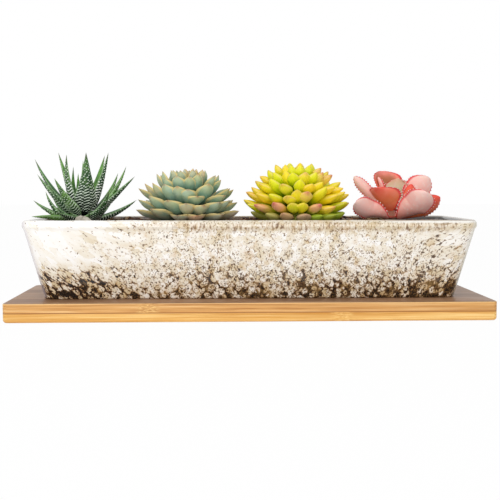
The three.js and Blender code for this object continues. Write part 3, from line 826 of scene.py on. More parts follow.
def make_plug(name, soil, root, granules):
    """A root plug: rough soil with roots on its side, and granules on its top."""
    x, _ = plant_axis(name)
    foot, foot_radius, head, head_radius = plug_size(name)
    seed = 40 + PLANT_NAMES.index(name)
    sides = 96
    profile = [(foot + 0.4, 4), (foot, 8), (foot, foot_radius * 0.6), (foot, foot_radius - 2.5)]
    profile += [(foot + 0.8, foot_radius - 0.7)]
    for share in np.linspace(0.05, 0.93, 34):
        profile.append((foot + share * (head - foot), foot_radius + share * (head_radius - foot_radius)))
    rings = [hoop(radius, z, sides) for z, radius in profile]
    for radius in np.linspace(head_radius - 0.5, STEM_RADIUS + 0.5, 14):
        ring = hoop(radius, 0.0, sides)
        ring[:, 2] = dressing_level(x + ring[:, 0], ring[:, 1]) - 0.9
        rings.append(ring)
    rings.append(rings[-1] * (1, 1, 0) + (0, 0, head - STEM_SOCKET))
    points, faces = closed(rings)
    reach = np.linalg.norm(points[:, :2], axis=1)
    rough = 0.55 + 0.3 * waves(points, 5, seed) + 0.25 * waves(points, 2, seed + 10)
    on_side = (points[:, 2] > foot + 0.5) & (reach > foot_radius - 1)
    points[:, :2] *= (1 - np.where(on_side, np.clip(rough, 0, 1.4), 0) / reach)[:, None]
    plug = make_object(f"{name}_plug", points + (x, 0, 0), faces, sharp=60)
    dress(plug, soil, name, "root_plug", f"{name}_root_plug")

    draw = np.random.default_rng(seed)
    strands = Batch()
    for _ in range(ROOTS):
        turn = draw.uniform(0, 2 * math.pi)
        start = draw.uniform(0.45, 0.92)
        end = draw.uniform(0.03, start - 0.25)
        wander = draw.normal(size=3) * (0.25, 0.12, 0.08)
        share = np.linspace(0, 1, 26)
        along = start + (end - start) * share
        bend = turn + sum(size * np.sin(share * turns) for size, turns in zip(wander, (4, 9, 17)))
        radius = foot_radius + along * (head_radius - foot_radius) - 0.62
        height = foot + along * (head - foot)
        path = np.column_stack([x + radius * np.cos(bend), radius * np.sin(bend), height])
        strands.add(*tube(path, draw.uniform(0.25, 0.5)), tint=draw.uniform())
    dress(strands.make(f"{name}_roots"), root, name, "root_plug")

    cover = Batch()
    for _ in range(COVER_GRANULES):
        turn = draw.uniform(0, 2 * math.pi)
        size = draw.uniform(0.8, 1.7)
        radius = math.sqrt(draw.uniform(0.06, 1)) * (head_radius - size * 1.25 - 0.3)
        px, py = x + radius * math.cos(turn), radius * math.sin(turn)
        level = dressing_level(px, py) - 0.5 + size * draw.uniform(-0.2, 0.4)
        add_granule(cover, px, py, level, size, draw)
    dress(cover.make(f"{name}_granules"), granules, name, "dark_granules")


def make_stem(name, material):
    """A short woody stem with the scars of old leaves."""
    x, _ = plant_axis(name)
    low, high = box(f"{name}_stem")
    sides = 48
    rings = []
    for z in np.linspace(low[2], high[2], 40):
        share = (z - low[2]) / (high[2] - low[2])
        scar = 0.35 * max(0, math.cos(z * 2.4)) ** 3
        radius = STEM_RADIUS * (0.7 + 0.3 * share) - 0.45 + scar * (0.6 + 0.4 * np.sin(5 * angles(sides) + z))
        rings.append(hoop(radius, z, sides, x))
    dress(make_object(f"{name}_woody_stem", *closed(rings), sharp=60), material, name, "stem", f"{name}_stem")


def make_soil_and_plugs():
    granules = granule_material()
    make_bed()
    make_granules(granules)
    make_pebble()
    soil = soil_material("root_plug", "#1d130d", "#3d2a1d")
    paint = Paint("roots", roughness=0.8)
    color = paint.value("tint").ramp((0.0, "#8a6f4f"), (0.5, "#b39670"), (1.0, "#d6c19c"))
    root = paint.done(color.under((paint.noise(1.5, 3.0).smooth(0.5, 0.7), "#5d432c")))
    paint = Paint("stem", roughness=0.75)
    color = paint.noise(2, 4.0).ramp((0.3, "#4a3825"), (0.5, "#78603f"), (0.7, "#9b8460"))
    bark = paint.done(color, paint.noise(0.8, 3.0), 0.3, 0.8)
    for name in PLANT_NAMES:
        make_plug(name, soil, root, granules)
        make_stem(name, bark)

    # These solids keep the frame's own meshes, as they lie out of sight
    plain = {"potting_mix": soil_material("potting_mix", "#1d130d", "#41301f")}
    paint = Paint("gravel", roughness=0.9)
    color = paint.noise(5, 4.0).ramp((0.3, "#5f5a52"), (0.5, "#8d877c"), (0.7, "#b5aea1"))
    plain["drainage_gravel"] = paint.done(color, paint.noise(1.0, 4.0), 0.5, 0.8)
    paint = Paint("mesh_plastic", roughness=0.6)
    color = paint.mix(paint.noise(1.2, 3.0).smooth(0.55, 0.7, 0.0, 0.4), "#1f1f20", "#3c3c3d")
    mesh = paint.done(color, paint.noise(0.6, 2.0), 0.08, 0.5)
    plain.update({f"drain_mesh_{index}": mesh for index in (1, 2, 3)})
    for node, material in plain.items():
        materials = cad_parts[node].data.materials
        materials.clear()
        materials.append(material)


# Leaves

def around(axis, angle, vector):
    """Vectors turned about unit axes, row by row."""
    along = axis * np.sum(axis * vector, axis=1)[:, None]
    return vector * np.cos(angle) + np.cross(axis, vector) * np.sin(angle) + along * (1 - np.cos(angle))


def leaf_points(form, base, leaf, steep, seed):
    """One leaf: rings of points across a curved spine, and the values that its paint reads.

    Base is the radius and height at the stem, and steep is the row's start angle."""
    azimuth, reach, rise, width, _, roll, steep, changes = (*leaf, *(0, steep, {})[len(leaf) - 5:])
    form = {**form, **changes}
    turn = math.radians(azimuth)
    outward = np.array((math.cos(turn), math.sin(turn), 0))
    start = outward * base[0] + (0, 0, base[1])
    end = outward * reach + (0, 0, rise)
    chord = np.linalg.norm(end - start)
    angle = math.radians(steep)
    bend = start + 0.5 * chord * (outward * math.cos(angle) + (0, 0, math.sin(angle)))
    tip_start, flank, roundness = form["tip"]
    body = np.linspace(0, tip_start, form["rings"], endpoint=False)
    cap = tip_start + (1 - tip_start) * np.sin(np.linspace(0, math.pi / 2, form["tip_rings"] + 1)[:-1])
    place = np.concatenate([body, cap])[:, None]
    spine = start * (1 - place) ** 2 + bend * 2 * place * (1 - place) + end * place ** 2
    tangent = 2 * (1 - place) * (bend - start) + 2 * place * (end - bend)
    tangent /= np.linalg.norm(tangent, axis=1)[:, None]
    across = np.broadcast_to((-math.sin(turn), math.cos(turn), 0), tangent.shape)
    across = around(tangent, np.radians(roll) * np.clip(2 * place, 0, 1), across)
    normal = np.cross(tangent, across)

    closing = (1 - np.clip((place - tip_start) / (1 - tip_start), 0, 1) ** flank) ** roundness
    half = width / 2 * through(form["stations"], 1, place) * closing
    thick = form["thickness"] * through(form["stations"], 2, place) * closing ** form.get("tip_thin", 1)
    sides = form["sides"]
    theta = angles(sides)
    sideways = np.cos(theta)
    lift = np.sign(np.sin(theta)) * np.abs(np.sin(theta)) ** form["edge_power"]
    share = np.where(lift > 0, form["top_share"], 1 - form["top_share"])
    cup = form["cup"] * 2 * half * np.minimum(place * 3, 1)
    keel = form.get("keel", 0) * np.clip(-np.sin(theta), 0, 1) ** 6
    phase = np.random.default_rng(seed).uniform(0, 6, 4)
    extra_out, extra_up, values = form["detail"](place * chord, place, theta, width, phase)
    up = lift * (share + keel) * thick + cup * sideways ** 2 + extra_up * np.sign(lift) * closing
    out = sideways * half + extra_out * closing
    points = spine[:, None, :] + across[:, None, :] * out[..., None] + normal[:, None, :] * up[..., None]
    values.update(place=place, edge=np.abs(sideways), face=np.sin(theta))
    for key, numbers in values.items():
        numbers = np.broadcast_to(numbers, (len(place), sides))
        values[key] = np.append(numbers, numbers[-1].mean())
    points, faces = closed(points)
    last = faces.pop()
    faces += [[corner, last[(side + 1) % sides], len(points)] for side, corner in enumerate(last)]
    return np.vstack([points, end]), faces, values


def plain_detail(along, place, theta, width, phase):
    """A leaf surface with slight swells only."""
    swell = 0.1 * np.sin(along / 3.1 + phase[0] + np.sin(theta))
    swell = swell + 0.08 * np.sin(along / 1.7 + 2 * theta + phase[1])
    wobble = 0.25 * np.sin(along / 6 + phase[2]) * np.cos(theta)
    return wobble, swell, {}


def banded_detail(along, place, theta, width, phase):
    """Rows of pale warts that join into bands across the outer face."""
    across = np.cos(theta) * width / 2
    outer = np.clip(-np.sin(theta) * 1.6 + 0.35, 0, 1)
    slant = 0.7 * np.sin(across / 1.1 + phase[0]) + 0.3 * np.sin(across / 2.6 + phase[1])
    number = (along + slant) / 2.3
    ridge = np.clip(np.cos(2 * math.pi * number), 0, 1) ** 1.3
    row = np.round(number)
    stagger = math.pi * row + 0.8 * np.sin(row * 2.3 + phase[2])
    warts = 0.5 + 0.5 * np.cos(across / 1.25 * math.pi + stagger)
    apart = np.clip((place - 0.35) / 0.25, 0, 1)
    joined = (0.55 + 0.45 * warts) * (1 - apart) + warts ** 2 * apart
    band = ridge * joined * outer
    fade = np.clip((1 - place) / 0.22, 0, 1)
    inner = np.clip(np.sin(theta), 0, 1)
    faint = 0.22 * ridge * inner
    return 0 * band, 0.42 * band * fade, {"band": (band + faint) * fade}


def toothed_detail(along, place, theta, width, phase):
    """Small rounded teeth along both edges."""
    side = np.cos(theta)
    edge = np.clip((np.abs(side) - 0.9) / 0.1, 0, 1)
    tooth = np.clip(np.cos(2 * math.pi * along / 2.3 + phase[0] * np.sign(side)), 0, 1) ** 0.8
    reach = np.clip(place / 0.15, 0, 1)
    swell = 0.22 * np.sin(along / 5.2 + phase[1] + side * 2)
    return 1.2 * edge * tooth * reach * np.sign(side), swell, {"tooth": edge * tooth * reach}


HAWORTHIA = {
    "stations": [
        (0, 0.55, 0.9), (0.2, 1, 1), (0.42, 0.7, 0.9), (0.65, 0.4, 0.6), (0.85, 0.18, 0.3), (1, 0, 0),
    ],
    "tip": (0.97, 1, 0.4), "rings": 110, "tip_rings": 4, "sides": 32,
    "thickness": 4.6, "top_share": 0.3, "cup": 0.04, "edge_power": 1.05, "keel": 0.12,
    "detail": banded_detail,
}
ECHEVERIA = {
    "stations": [(0, 0.24, 0.8), (0.36, 0.55, 1), (0.68, 1, 0.95), (0.88, 0.84, 0.75), (1, 0.45, 0.45)],
    "tip": (0.8, 1.8, 0.74), "rings": 26, "tip_rings": 14, "sides": 32,
    "thickness": 4.2, "top_share": 0.35, "cup": 0.16, "edge_power": 1.25, "keel": 0.1, "detail": plain_detail,
}
SEDUM = {
    "stations": [(0, 0.3, 0.5), (0.45, 0.66, 0.85), (0.78, 1, 1), (1, 0.78, 0.85)],
    "tip": (0.7, 1.8, 0.66), "rings": 22, "tip_rings": 12, "sides": 24,
    "thickness": 6.2, "top_share": 0.45, "cup": 0, "edge_power": 0.95, "keel": 0.12, "detail": plain_detail,
}
CORAL = {
    "stations": [
        (0, 0.34, 1), (0.2, 0.66, 0.9), (0.45, 0.92, 0.72), (0.66, 1, 0.6),
        (0.85, 0.88, 0.5), (1, 0.6, 0.4),
    ],
    "tip": (0.76, 2.0, 0.5), "rings": 90, "tip_rings": 22, "sides": 48,
    "thickness": 2.8, "top_share": 0.4, "cup": 0.2, "edge_power": 1.5, "tip_thin": 0.6,
    "detail": toothed_detail,
}

# A form's stations are the place along the leaf, its width and its thickness there. A row is its name, start
# angle, radius at the stem and leaves. A leaf is (azimuth, reach, rise, width, blush), and some go on with a
# roll, a start angle and what differs from the form. Azimuth -90 faces the front, rise is from the crown up,
# blush is how warm the colours are, from 0 to 1, roll turns the blade about its own length, and the start
# angle is how steeply it leaves the stem.
HAWORTHIA_ROWS = [
    ("outer", 12, 8, [
        (180, 41.5, 17.3, 10, 0.4), (-145, 46, 4.5, 9, 0.1), (11, 43.8, 17.3, 10.5, 0.8),
        (-50, 39, 24.9, 15, 0.75), (-58, 38.5, 16, 10, 0.6), (-114, 38, 8, 10, 0.9),
        (-164, 30.6, 24.8, 9, 0.5), (62, 40, 15, 11, 0.5), (100, 40, 12, 11, 0.5), (142, 38, 19, 11, 0.5),
        (-92, 21, 5, 11, 0.2), (-70, 24, 7, 11, 0.3), (80, 25, 14, 15, 0.3), (108, 25, 12, 15, 0.3),
        (52, 25, 12, 14, 0.3), (-108, 24, 8, 11, 0.3), (-130, 28, 12, 10, 0.3),
    ]),
    ("middle", 42, 7.5, [
        (182, 37.5, 38.7, 10.5, 0.7), (-121, 35.1, 35.2, 14, 0.55), (168, 42.3, 51.5, 11.5, 0.8),
        (10, 35.4, 45.5, 11, 0.5), (3, 42.6, 37.1, 11, 0.7), (30, 31, 40, 10, 0.5), (98, 30, 34, 11, 0.5),
        (125, 18.2, 45.6, 9, 0.3), (-146, 30, 29, 10, 0.4),
    ]),
    ("inner", 66, 6, [
        (150, 26.2, 57.3, 10.5, 0.2), (-145, 14.5, 54.8, 12, 1), (-70, 12.8, 56.3, 19, 0.7),
        (52, 25, 55.1, 12, 0.1), (-18, 23, 56.5, 12, 1), (122, 10.4, 39.7, 8, 0.3), (99, 12, 50.6, 9, 0.2),
    ]),
]
ECHEVERIA_ROWS = [
    ("skirt", -4, 6, [
        (-168, 44.5, 9.5, 17, 0.45), (-133, 43.5, 11, 18.5, 0.3), (-101, 43, 6, 16.5, 1),
        (-80, 43, 6, 16.5, 0.95), (-50, 43, 6.5, 16, 0.5), (-18, 43, 8.5, 18, 0.75), (14, 42, 7, 16, 0.5),
        (44, 42, 7, 16.5, 0.6), (74, 41, 7, 16.5, 0.7), (104, 41, 7, 16.5, 0.6), (134, 42, 7, 16.5, 0.5),
        (164, 44, 8, 16, 0.4),
    ]),
    ("lower", -6, 5.8, [
        (-161, 43.7, 18, 15.5, 0.3), (-139, 42, 21.4, 17, 0.1), (-112, 42.5, 18, 17.5, 0.1),
        (-92, 42, 15.5, 14, 0.55), (-72, 41, 14, 15, 0.3), (-52, 40.5, 16.2, 18, 0.2),
        (-32, 39, 17.5, 15, 0.3), (-6, 40, 15.5, 16, 0.2), (24, 40, 17, 16, 0.3), (56, 40, 17, 16.5, 0.2),
        (88, 40, 17, 16.5, 0.2), (120, 41, 17, 16.5, 0.3), (152, 43, 17, 16, 0.3),
    ]),
    ("middle", 8, 5.4, [
        (-173, 42, 27, 13.5, 0.3), (-165, 37.5, 31, 12, 0.4), (-150, 34, 31.5, 13, 0.3),
        (-124, 34.4, 30.5, 16, 0.1), (-104, 36, 29, 14, 0.2), (-90, 37.4, 26.5, 14.5, 0.25),
        (-79, 39.5, 21, 14.5, 0.1), (-59, 32, 31, 16, 0.05), (-40, 38.5, 21.5, 15.5, 0.2),
        (-16, 35, 27, 14, 0.1), (2, 36.7, 26, 13.5, 0.1), (26, 36, 27, 15, 0.1), (54, 35, 28, 15.5, 0.1),
        (86, 34, 28, 15.5, 0.1), (116, 34, 28, 15.5, 0.1), (144, 36, 28, 15, 0.1),
    ]),
    ("upper", 24, 4.8, [
        (-172, 27, 39, 10, 0.5), (-160, 23, 41, 10.5, 0.2), (-136, 27, 35, 11, 0.15),
        (-110, 27.8, 37, 12.5, 0.1), (-88, 27.4, 36.7, 10.5, 0.05), (-70, 23.5, 39, 11.5, 0.1),
        (-36, 25, 37, 11, 0.1), (-16, 27.3, 34, 12, 0.1), (-5, 24.4, 38, 11.5, 0.15), (30, 25, 38, 11.5, 0.1),
        (62, 25, 38, 12, 0.1), (96, 25, 38, 12, 0.1), (130, 26, 38, 11.5, 0.1), (160, 26, 38, 11, 0.1),
    ]),
    ("inner", 44, 3.8, [
        (-145, 16, 42, 8.5, 0.4), (-114, 17, 41.5, 8.5, 0.3), (-74, 13, 42.3, 8.5, 0.4),
        (-32, 13, 42.4, 8.5, 0.4), (6, 13, 42, 8.5, 0.3), (46, 14, 42, 8.5, 0.3), (92, 14, 42, 8.5, 0.3),
        (138, 15, 42, 8.5, 0.3), (180, 15, 42, 8.5, 0.3),
    ]),
    ("heart", 70, 2.2, [
        (-60, 6.5, 43.4, 5.5, 0.7), (-130, 6, 43, 5.5, 0.6), (30, 6.5, 43, 5.5, 0.6),
        (120, 6.5, 43, 5.5, 0.6),
    ]),
]
SEDUM_ROWS = [
    ("skirt", -4, 6, [
        (-131, 42, 7, 10.5, 0.35), (-110, 42, 7.5, 11, 0.5), (-85, 41.5, 6.5, 12, 0.5),
        (-66, 41, 5.5, 10.5, 0.0), (-47, 42, 6, 11, 0.05), (-20, 41, 7, 11, 0.1), (8, 41, 7, 11, 0.2),
        (38, 41, 7, 11, 0.2), (68, 41, 7, 11, 0.3), (98, 41, 7, 11, 0.3), (128, 41, 7, 11, 0.3),
        (158, 41, 7, 11, 0.3), (-98, 27, 3, 11, 0.3), (80, 24, 9, 14, 0.2), (104, 24, 9, 14, 0.2),
        (56, 24, 9, 14, 0.2), (-88, 20, 8, 13, 0.1), (-76, 27, 3, 11, 0.1), (-56, 28, 4, 11, 0.0),
        (-120, 28, 4, 11, 0.2),
    ]),
    ("low", 2, 6, [
        (180, 44.5, 17.5, 9.5, 0.1), (-162, 44, 14, 10, 0.3), (-147, 44, 14, 10.5, 0.8),
        (-120, 44.5, 16, 11.5, 1), (-100, 44, 15.5, 10.5, 0.4), (-88, 44, 15.5, 10.5, 0.3),
        (-70, 44, 14.5, 11, 0.85), (-50, 43.5, 12.5, 10.5, 0.5), (-27, 44, 16, 10, 0.1),
        (-6, 43.5, 15, 10, 0.2), (18, 43, 15, 10, 0.2), (42, 43, 15, 10.5, 0.4), (66, 43, 15, 10.5, 0.4),
        (90, 43, 15, 10.5, 0.4), (114, 43, 15, 10.5, 0.4), (138, 43, 15, 10.5, 0.4), (160, 44, 15, 10, 0.4),
    ]),
    ("lower", 10, 6, [
        (-173, 43, 24, 10, 0.5), (-166, 39.5, 28, 10, 0.4), (-145, 43, 23, 10.5, 0.3),
        (-125, 43.5, 22.5, 11.5, 0.15), (-105, 44, 21, 11.5, 0.45), (-95, 42, 26, 10.5, 0.4),
        (-84, 43, 24.5, 12, 0.65), (-62, 42, 28, 10.5, 0.05), (-45, 43, 22, 10.5, 0.3),
        (-30, 43, 24, 10, 0.1), (-14, 43.5, 22, 10, 0.15), (8, 42, 24, 10.5, 0.2), (32, 42, 24, 10.5, 0.3),
        (58, 41, 24, 10.5, 0.3), (84, 41, 24, 10.5, 0.3), (110, 41, 24, 10.5, 0.3), (136, 42, 24, 10.5, 0.3),
        (162, 43, 24, 10.5, 0.3),
    ]),
    ("middle", 20, 5.6, [
        (-174, 35.2, 33, 9.5, 0.5), (-150, 37.5, 31, 10, 0.4), (-134, 34.2, 34.7, 12, 0.2),
        (-113, 38.5, 30.5, 11.5, 0.5), (-91, 35, 34, 10, 0.1), (-76, 37, 30.5, 10.5, 0.3),
        (-62, 37, 32, 10.5, 0.15), (-47, 40.5, 28, 11.5, 0.3), (-28, 41, 27, 10.5, 0.3),
        (-20, 37, 32, 10.5, 0.35), (6, 37, 31, 10.5, 0.2), (34, 36, 32, 10.5, 0.3), (62, 35, 32, 10.5, 0.3),
        (90, 35, 32, 10.5, 0.3), (118, 35, 32, 10.5, 0.3), (146, 36, 32, 10.5, 0.3),
    ]),
    ("upper", 32, 5, [
        (177, 31, 37, 9.5, 0.4), (-165, 25.5, 42, 9.5, 0.4), (-140, 27, 40, 10, 0.3),
        (-118, 24, 41, 9.5, 0.1), (-102, 28.7, 39.5, 10.5, 0.1), (-80, 27, 40, 11, 0.45),
        (-60, 27, 40, 10, 0.3), (-46, 28, 40, 10.5, 0.6), (-26, 31, 38, 10, 0.7), (-8, 26, 41, 9.5, 0.5),
        (20, 27, 40, 9.5, 0.3), (50, 26, 40, 9.5, 0.3), (84, 26, 40, 9.5, 0.3), (118, 26, 40, 9.5, 0.3),
        (150, 26, 40, 9.5, 0.3),
    ]),
    ("inner", 48, 4, [
        (-170, 18.4, 46.5, 8.5, 0.45), (-139, 14, 46.5, 8.5, 0.2), (-112, 16, 45.5, 8.5, 0.1),
        (-85, 17, 45.5, 9, 0.2), (-52, 15, 46, 9, 0.3), (-24, 21, 43.6, 9, 0.6), (-6, 12, 47.5, 8.5, 0.4),
        (40, 16, 45.5, 8.5, 0.4), (85, 16, 45.5, 8.5, 0.3), (130, 16, 45.5, 8.5, 0.3),
    ]),
    ("heart", 70, 2.4, [(-70, 6, 48, 7, 0.1), (50, 6, 47.8, 7, 0.2), (170, 6, 48, 7, 0.2)]),
]
BLUNT = {
    "stations": [
        (0, 0.42, 1), (0.2, 0.8, 0.9), (0.45, 1, 0.75), (0.7, 1, 0.62),
        (0.88, 0.9, 0.5), (1, 0.75, 0.4),
    ],
    "tip": (0.72, 2.2, 0.5),
}
ROUND = {
    "stations": [
        (0, 0.3, 1), (0.25, 0.7, 0.9), (0.5, 1, 0.75), (0.7, 0.98, 0.62),
        (0.88, 0.8, 0.5), (1, 0.55, 0.4),
    ],
    "tip": (0.6, 1.9, 0.6),
}
CORAL_ROWS = [
    ("outer", 4, 7, [
        (-156, 38.8, 15.5, 17, 0.2, 66, 14, BLUNT), (-54, 35.5, 24, 23.5, 0.3, -46, 20, BLUNT),
        (-12, 37.5, 20, 22, 0.95, -50), (46, 33, 18, 20, 0.6), (94, 32, 17, 20, 0.5), (142, 33, 16, 20, 0.5),
    ]),
    ("middle", 40, 6, [
        (-137, 24.5, 27.8, 29, 0.85, 4, 48, ROUND), (179, 34, 37, 9.5, 0.1, 76),
        (-7, 27.8, 36.8, 24, 0.15, -66, 40, BLUNT), (60, 22, 34, 20, 0.5), (-32, 14.5, 30.5, 10, 1.0, -55),
    ]),
    ("heart", 60, 5, [(118, 17, 41.6, 30, 0.7), (46, 5.5, 35.4, 24, 0.0), (168, 13.5, 36.6, 9, 0.1, 20)]),
]
PLANTS = {
    "haworthia": (HAWORTHIA, HAWORTHIA_ROWS, 3.8),
    "echeveria": (ECHEVERIA, ECHEVERIA_ROWS, 4.6),
    "sedum": (SEDUM, SEDUM_ROWS, 5),
    "coral": (CORAL, CORAL_ROWS, 6),
}


def haworthia_material():
    paint = Paint("haworthia_leaf", roughness=0.5, specular_ior_level=0.3)
    place, edge, face, bold, band, tint = map(paint.value, ("place", "edge", "face", "blush", "band", "tint"))
    # Both ramps run near black at the leaf bases: painted shade between the leaves
    outer = place.ramp(
        (0.0, "#060f06"), (0.2, "#0c2310"), (0.5, "#173d1c"), (0.85, "#345c2e"), (1.0, "#5c5642"),
    )
    inner = place.ramp((0.0, "#0c1e0e"), (0.35, "#285a25"), (0.8, "#4f883c"), (1.0, "#6d6550"))
    fresh = paint.noise(5, 3.0) * 0.8 + tint * 0.3 + 0.25 - bold * 0.35
    strength = band.smooth(0.2, 0.46) * (bold * 0.38 + 0.62)
    color = outer.under(
        (face.smooth(-0.1, 0.35), inner),
        (fresh.smooth(0.5, 0.9, 0.0, 0.8) * place.smooth(0.15, 0.45), "#83b456"),
        (edge.smooth(0.88, 0.99, 0.0, 0.5), "#b5d6a2"),
        (strength, paint.mix(bold, "#b4d8a8", "#fafff6")),
    )
    return paint.done(color, paint.noise(0.7, 2.0), 0.06, 0.4)


def echeveria_material():
    wax = {"sheen_weight": 0.1, "sheen_roughness": 0.6}
    paint = Paint("echeveria_leaf", roughness=0.55, specular_ior_level=0.3, **wax)
    place, edge, blush, tint = map(paint.value, ("place", "edge", "blush", "tint"))
    # Both ramps run near black at the leaf bases: painted shade in the gaps between the leaves
    cool = place.ramp(
        (0.0, "#0a1007"), (0.3, "#1f3320"), (0.52, "#4d7560"), (0.75, "#7ba189"),
        (0.92, "#b5bf8e"), (1.0, "#cdb079"),
    )
    warm = place.ramp(
        (0.0, "#2c3218"), (0.3, "#7d8a4c"), (0.6, "#d3ba80"), (0.85, "#f8cfa2"), (1.0, "#e9b083"),
    )
    cloud = paint.noise(7, 3.0)
    light = (tint * 0.5 + paint.noise(11, 2.0) * 0.6).smooth(0.45, 0.8, 0.0, 0.5)
    rim = edge.smooth(0.72, 0.94) * place.smooth(0.3, 0.6)
    color = cool.under(
        ((blush + (cloud - 0.5) * 0.7).smooth(0.12, 0.85), warm),
        (tint.smooth(0.55, 0.95) * cloud.smooth(0.42, 0.62, 0.0, 0.7), "#a8b066"),
        (light * place.smooth(0.4, 0.75), "#a9c9ba"),
        (rim * 0.95, "#e2cd88"),
        (place.smooth(0.95, 1.0) * 0.55, "#a5684a"),
        (paint.noise(2.2, 4.0).smooth(0.4, 0.75, 0.0, 0.15), "#c9d8cc"),
    )
    return paint.done(color, paint.noise(1.1, 3.0), 0.08, 0.4)


def sedum_material():
    paint = Paint("sedum_leaf", roughness=0.42, specular_ior_level=0.35)
    place, edge, blush, tint, height = map(paint.value, ("place", "edge", "blush", "tint", "height"))
    # Both ramps run dark at the leaf bases: painted shade in the gaps between the leaves
    lime = place.ramp((0.0, "#1c3804"), (0.3, "#5f8c08"), (0.6, "#cfe008"), (1.0, "#f4f02c"))
    gold = place.ramp((0.0, "#2f3e06"), (0.3, "#8f8d06"), (0.6, "#fce806"), (1.0, "#ffdd38"))
    rosy = blush + (paint.noise(4, 3.0) - 0.5) * 0.5
    color = lime.under(
        (tint.smooth(0.2, 0.8), gold),
        (rosy.smooth(0.35, 0.95) * place.smooth(0.45, 0.9, 0.0, 0.9), "#f8ac8c"),
        (place.smooth(0.9, 0.99) * blush.smooth(0.2, 0.8, 0.0, 0.8), "#cf5f62"),
        (edge.smooth(0.9, 1.0) * place.smooth(0.6, 0.9) * 0.35, "#f6c9a0"),
        (height.smooth(0.26, 0.12, 0.0, 0.75), paint.mix(blush.smooth(0.2, 0.5), "#86b13c", "#c79f98")),
    )
    return paint.done(color, paint.noise(0.9, 2.0), 0.05, 0.4)


def coral_material():
    flesh = {"subsurface_weight": 0.1, "subsurface_scale": 0.003}
    paint = Paint("coral_leaf", roughness=0.5, specular_ior_level=0.3, **flesh)
    place, edge, face, blush, tooth = map(paint.value, ("place", "edge", "face", "blush", "tooth"))
    pale = place.ramp((0.0, "#ff9d8b"), (0.35, "#ffbaac"), (0.75, "#ffc9be"), (1.0, "#ffd6cc"))
    vivid = place.ramp((0.0, "#e75c3a"), (0.4, "#ff8a58"), (0.75, "#ff7b5a"), (1.0, "#fb5a4c"))
    cream = place.ramp((0.0, "#7d9c58"), (0.45, "#b9c487"), (0.7, "#f1e6c4"), (1.0, "#f3c9a8"))
    heat = blush + (paint.noise(8, 3.0) - 0.5) * 0.5
    # Inner faces: cream on cool leaves is their own colour, while the olive-brown on warm leaves is painted
    # shade in the leaf's hollow
    inner = face.smooth(0.1, 0.5) * edge.smooth(0.9, 0.5) * place.smooth(1.0, 0.72, 0.0, 0.85)
    streaks = paint.noise(2.5, 4.0).smooth(0.5, 0.7, 0.0, 0.5) * heat.smooth(0.6, 0.2)
    color = pale.under(
        (heat.smooth(0.3, 0.95), vivid),
        (inner, paint.mix(blush.smooth(0.1, 0.5), "#f3e9c6", "#a9693f")),
        (blush.smooth(0.06, 0.0) * 0.9, cream),
        (streaks, "#ffe4dc"),
        (edge.smooth(0.84, 0.95) * 0.9, "#e6353d"),
        (tooth.smooth(0.4, 0.7), "#fff0ea"),
    )
    return paint.done(color, paint.noise(1.0, 3.0), 0.08, 0.4)


def make_leaves(name, material):
    form, rows, slice_height = PLANTS[name]
    x, crown = plant_axis(name)
    top = max(leaf[2] for row in rows for leaf in row[3])
    for row_index, (row_name, steep, stem_radius, leaves) in enumerate(rows):
        batch = Batch()
        height = (row_index + 0.5) * slice_height
        for leaf_index, leaf in enumerate(leaves):
            seed = 1000 * (1 + PLANT_NAMES.index(name)) + 50 * row_index + leaf_index
            points, faces, values = leaf_points(form, (stem_radius, height), leaf, steep, seed)
            values["tint"] = np.random.default_rng(seed).uniform()
            values["blush"] = leaf[4]
            values["height"] = leaf[2] / top
            batch.add(points + (x, 0, crown), faces, **values)
        row = batch.make(f"{name}_{row_name}_row")
        dress(row, material, name, f"{name}_leaf", f"{name}_{row_name}_leaves")


# Camera, light and floor

def make_camera():
    camera = bpy.data.objects.new("camera", bpy.data.cameras.new("camera"))
    camera.data.sensor_width = SENSOR
    camera.data.lens = FOCAL_PIXELS / PHOTO_SIDE * SENSOR
    camera.data.clip_start = 0.01
    camera.data.clip_end = 50
    camera.location = [value * MM for value in EYE]
    camera.rotation_euler = (math.radians(90 - PITCH), 0, math.radians(-YAW))
    bpy.context.scene.collection.objects.link(camera)
    bpy.context.scene.camera = camera


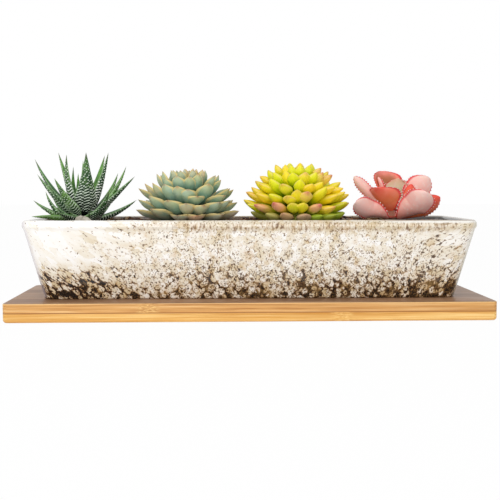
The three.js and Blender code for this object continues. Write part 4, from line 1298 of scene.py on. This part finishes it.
def seen(tree):
    """A socket that is 1 for what the camera sees, also in a reflection or through glass."""
    rays = tree.nodes.new("ShaderNodeLightPath")
    found = rays.outputs["Is Camera Ray"]
    for ray in ("Is Glossy Ray", "Is Transmission Ray"):
        either = tree.nodes.new("ShaderNodeMath")
        either.operation = "MAXIMUM"
        tree.links.new(found, either.inputs[0])
        tree.links.new(rays.outputs[ray], either.inputs[1])
        found = either.outputs[0]
    return found


def make_light():
    world = bpy.data.worlds.new("studio")
    world.use_nodes = True
    tree = world.node_tree
    background = tree.nodes["Background"]
    background.inputs["Color"].default_value = (1, 1, 1, 1)
    strength = tree.nodes.new("ShaderNodeMapRange")
    strength.inputs["To Min"].default_value = WORLD_LIGHT
    strength.inputs["To Max"].default_value = 1
    tree.links.new(seen(tree), strength.inputs["Value"])
    tree.links.new(strength.outputs["Result"], background.inputs["Strength"])
    bpy.context.scene.world = world

    for name, place, size, energy in LAMPS:
        lamp = bpy.data.lights.new(name, "AREA")
        lamp.shape = "RECTANGLE"
        lamp.size, lamp.size_y = size
        lamp.energy = energy
        light = bpy.data.objects.new(name, lamp)
        light.location = place
        aim = np.array(LAMP_AIM) - np.array(place)
        level = math.hypot(aim[0], aim[1])
        light.rotation_euler = (math.atan2(level, -aim[2]), 0, math.atan2(aim[1], aim[0]) - math.pi / 2)
        bpy.context.scene.collection.objects.link(light)


def make_floor():
    """A white floor that takes shadows, and glows where it is seen so that it has no far edge."""
    half = FLOOR_HALF
    corners = [(-half, -half, 0), (half, -half, 0), (half, half, 0), (-half, half, 0)]
    floor = make_object("floor", corners, [[0, 1, 2, 3]])
    paint = Paint("floor", base_color=(1, 1, 1, 1), roughness=0.9)
    tree = paint.tree
    share = Signal(paint, seen(tree)) * FLOOR_GLOW
    surface = Signal(paint, paint.surface.outputs[0])
    blend = paint.add("ShaderNodeMixShader", {0: share, 1: surface, 2: paint.add("ShaderNodeEmission")})
    tree.links.new(blend.socket, tree.nodes["Material Output"].inputs["Surface"])
    floor.data.materials.append(paint.material)


make_camera()
make_light()
make_floor()
make_saucer()
make_pot()
make_soil_and_plugs()
make_leaves("haworthia", haworthia_material())
make_leaves("echeveria", echeveria_material())
make_leaves("sedum", sedum_material())
make_leaves("coral", coral_material())

bpy.context.scene.view_settings.view_transform = "Standard"
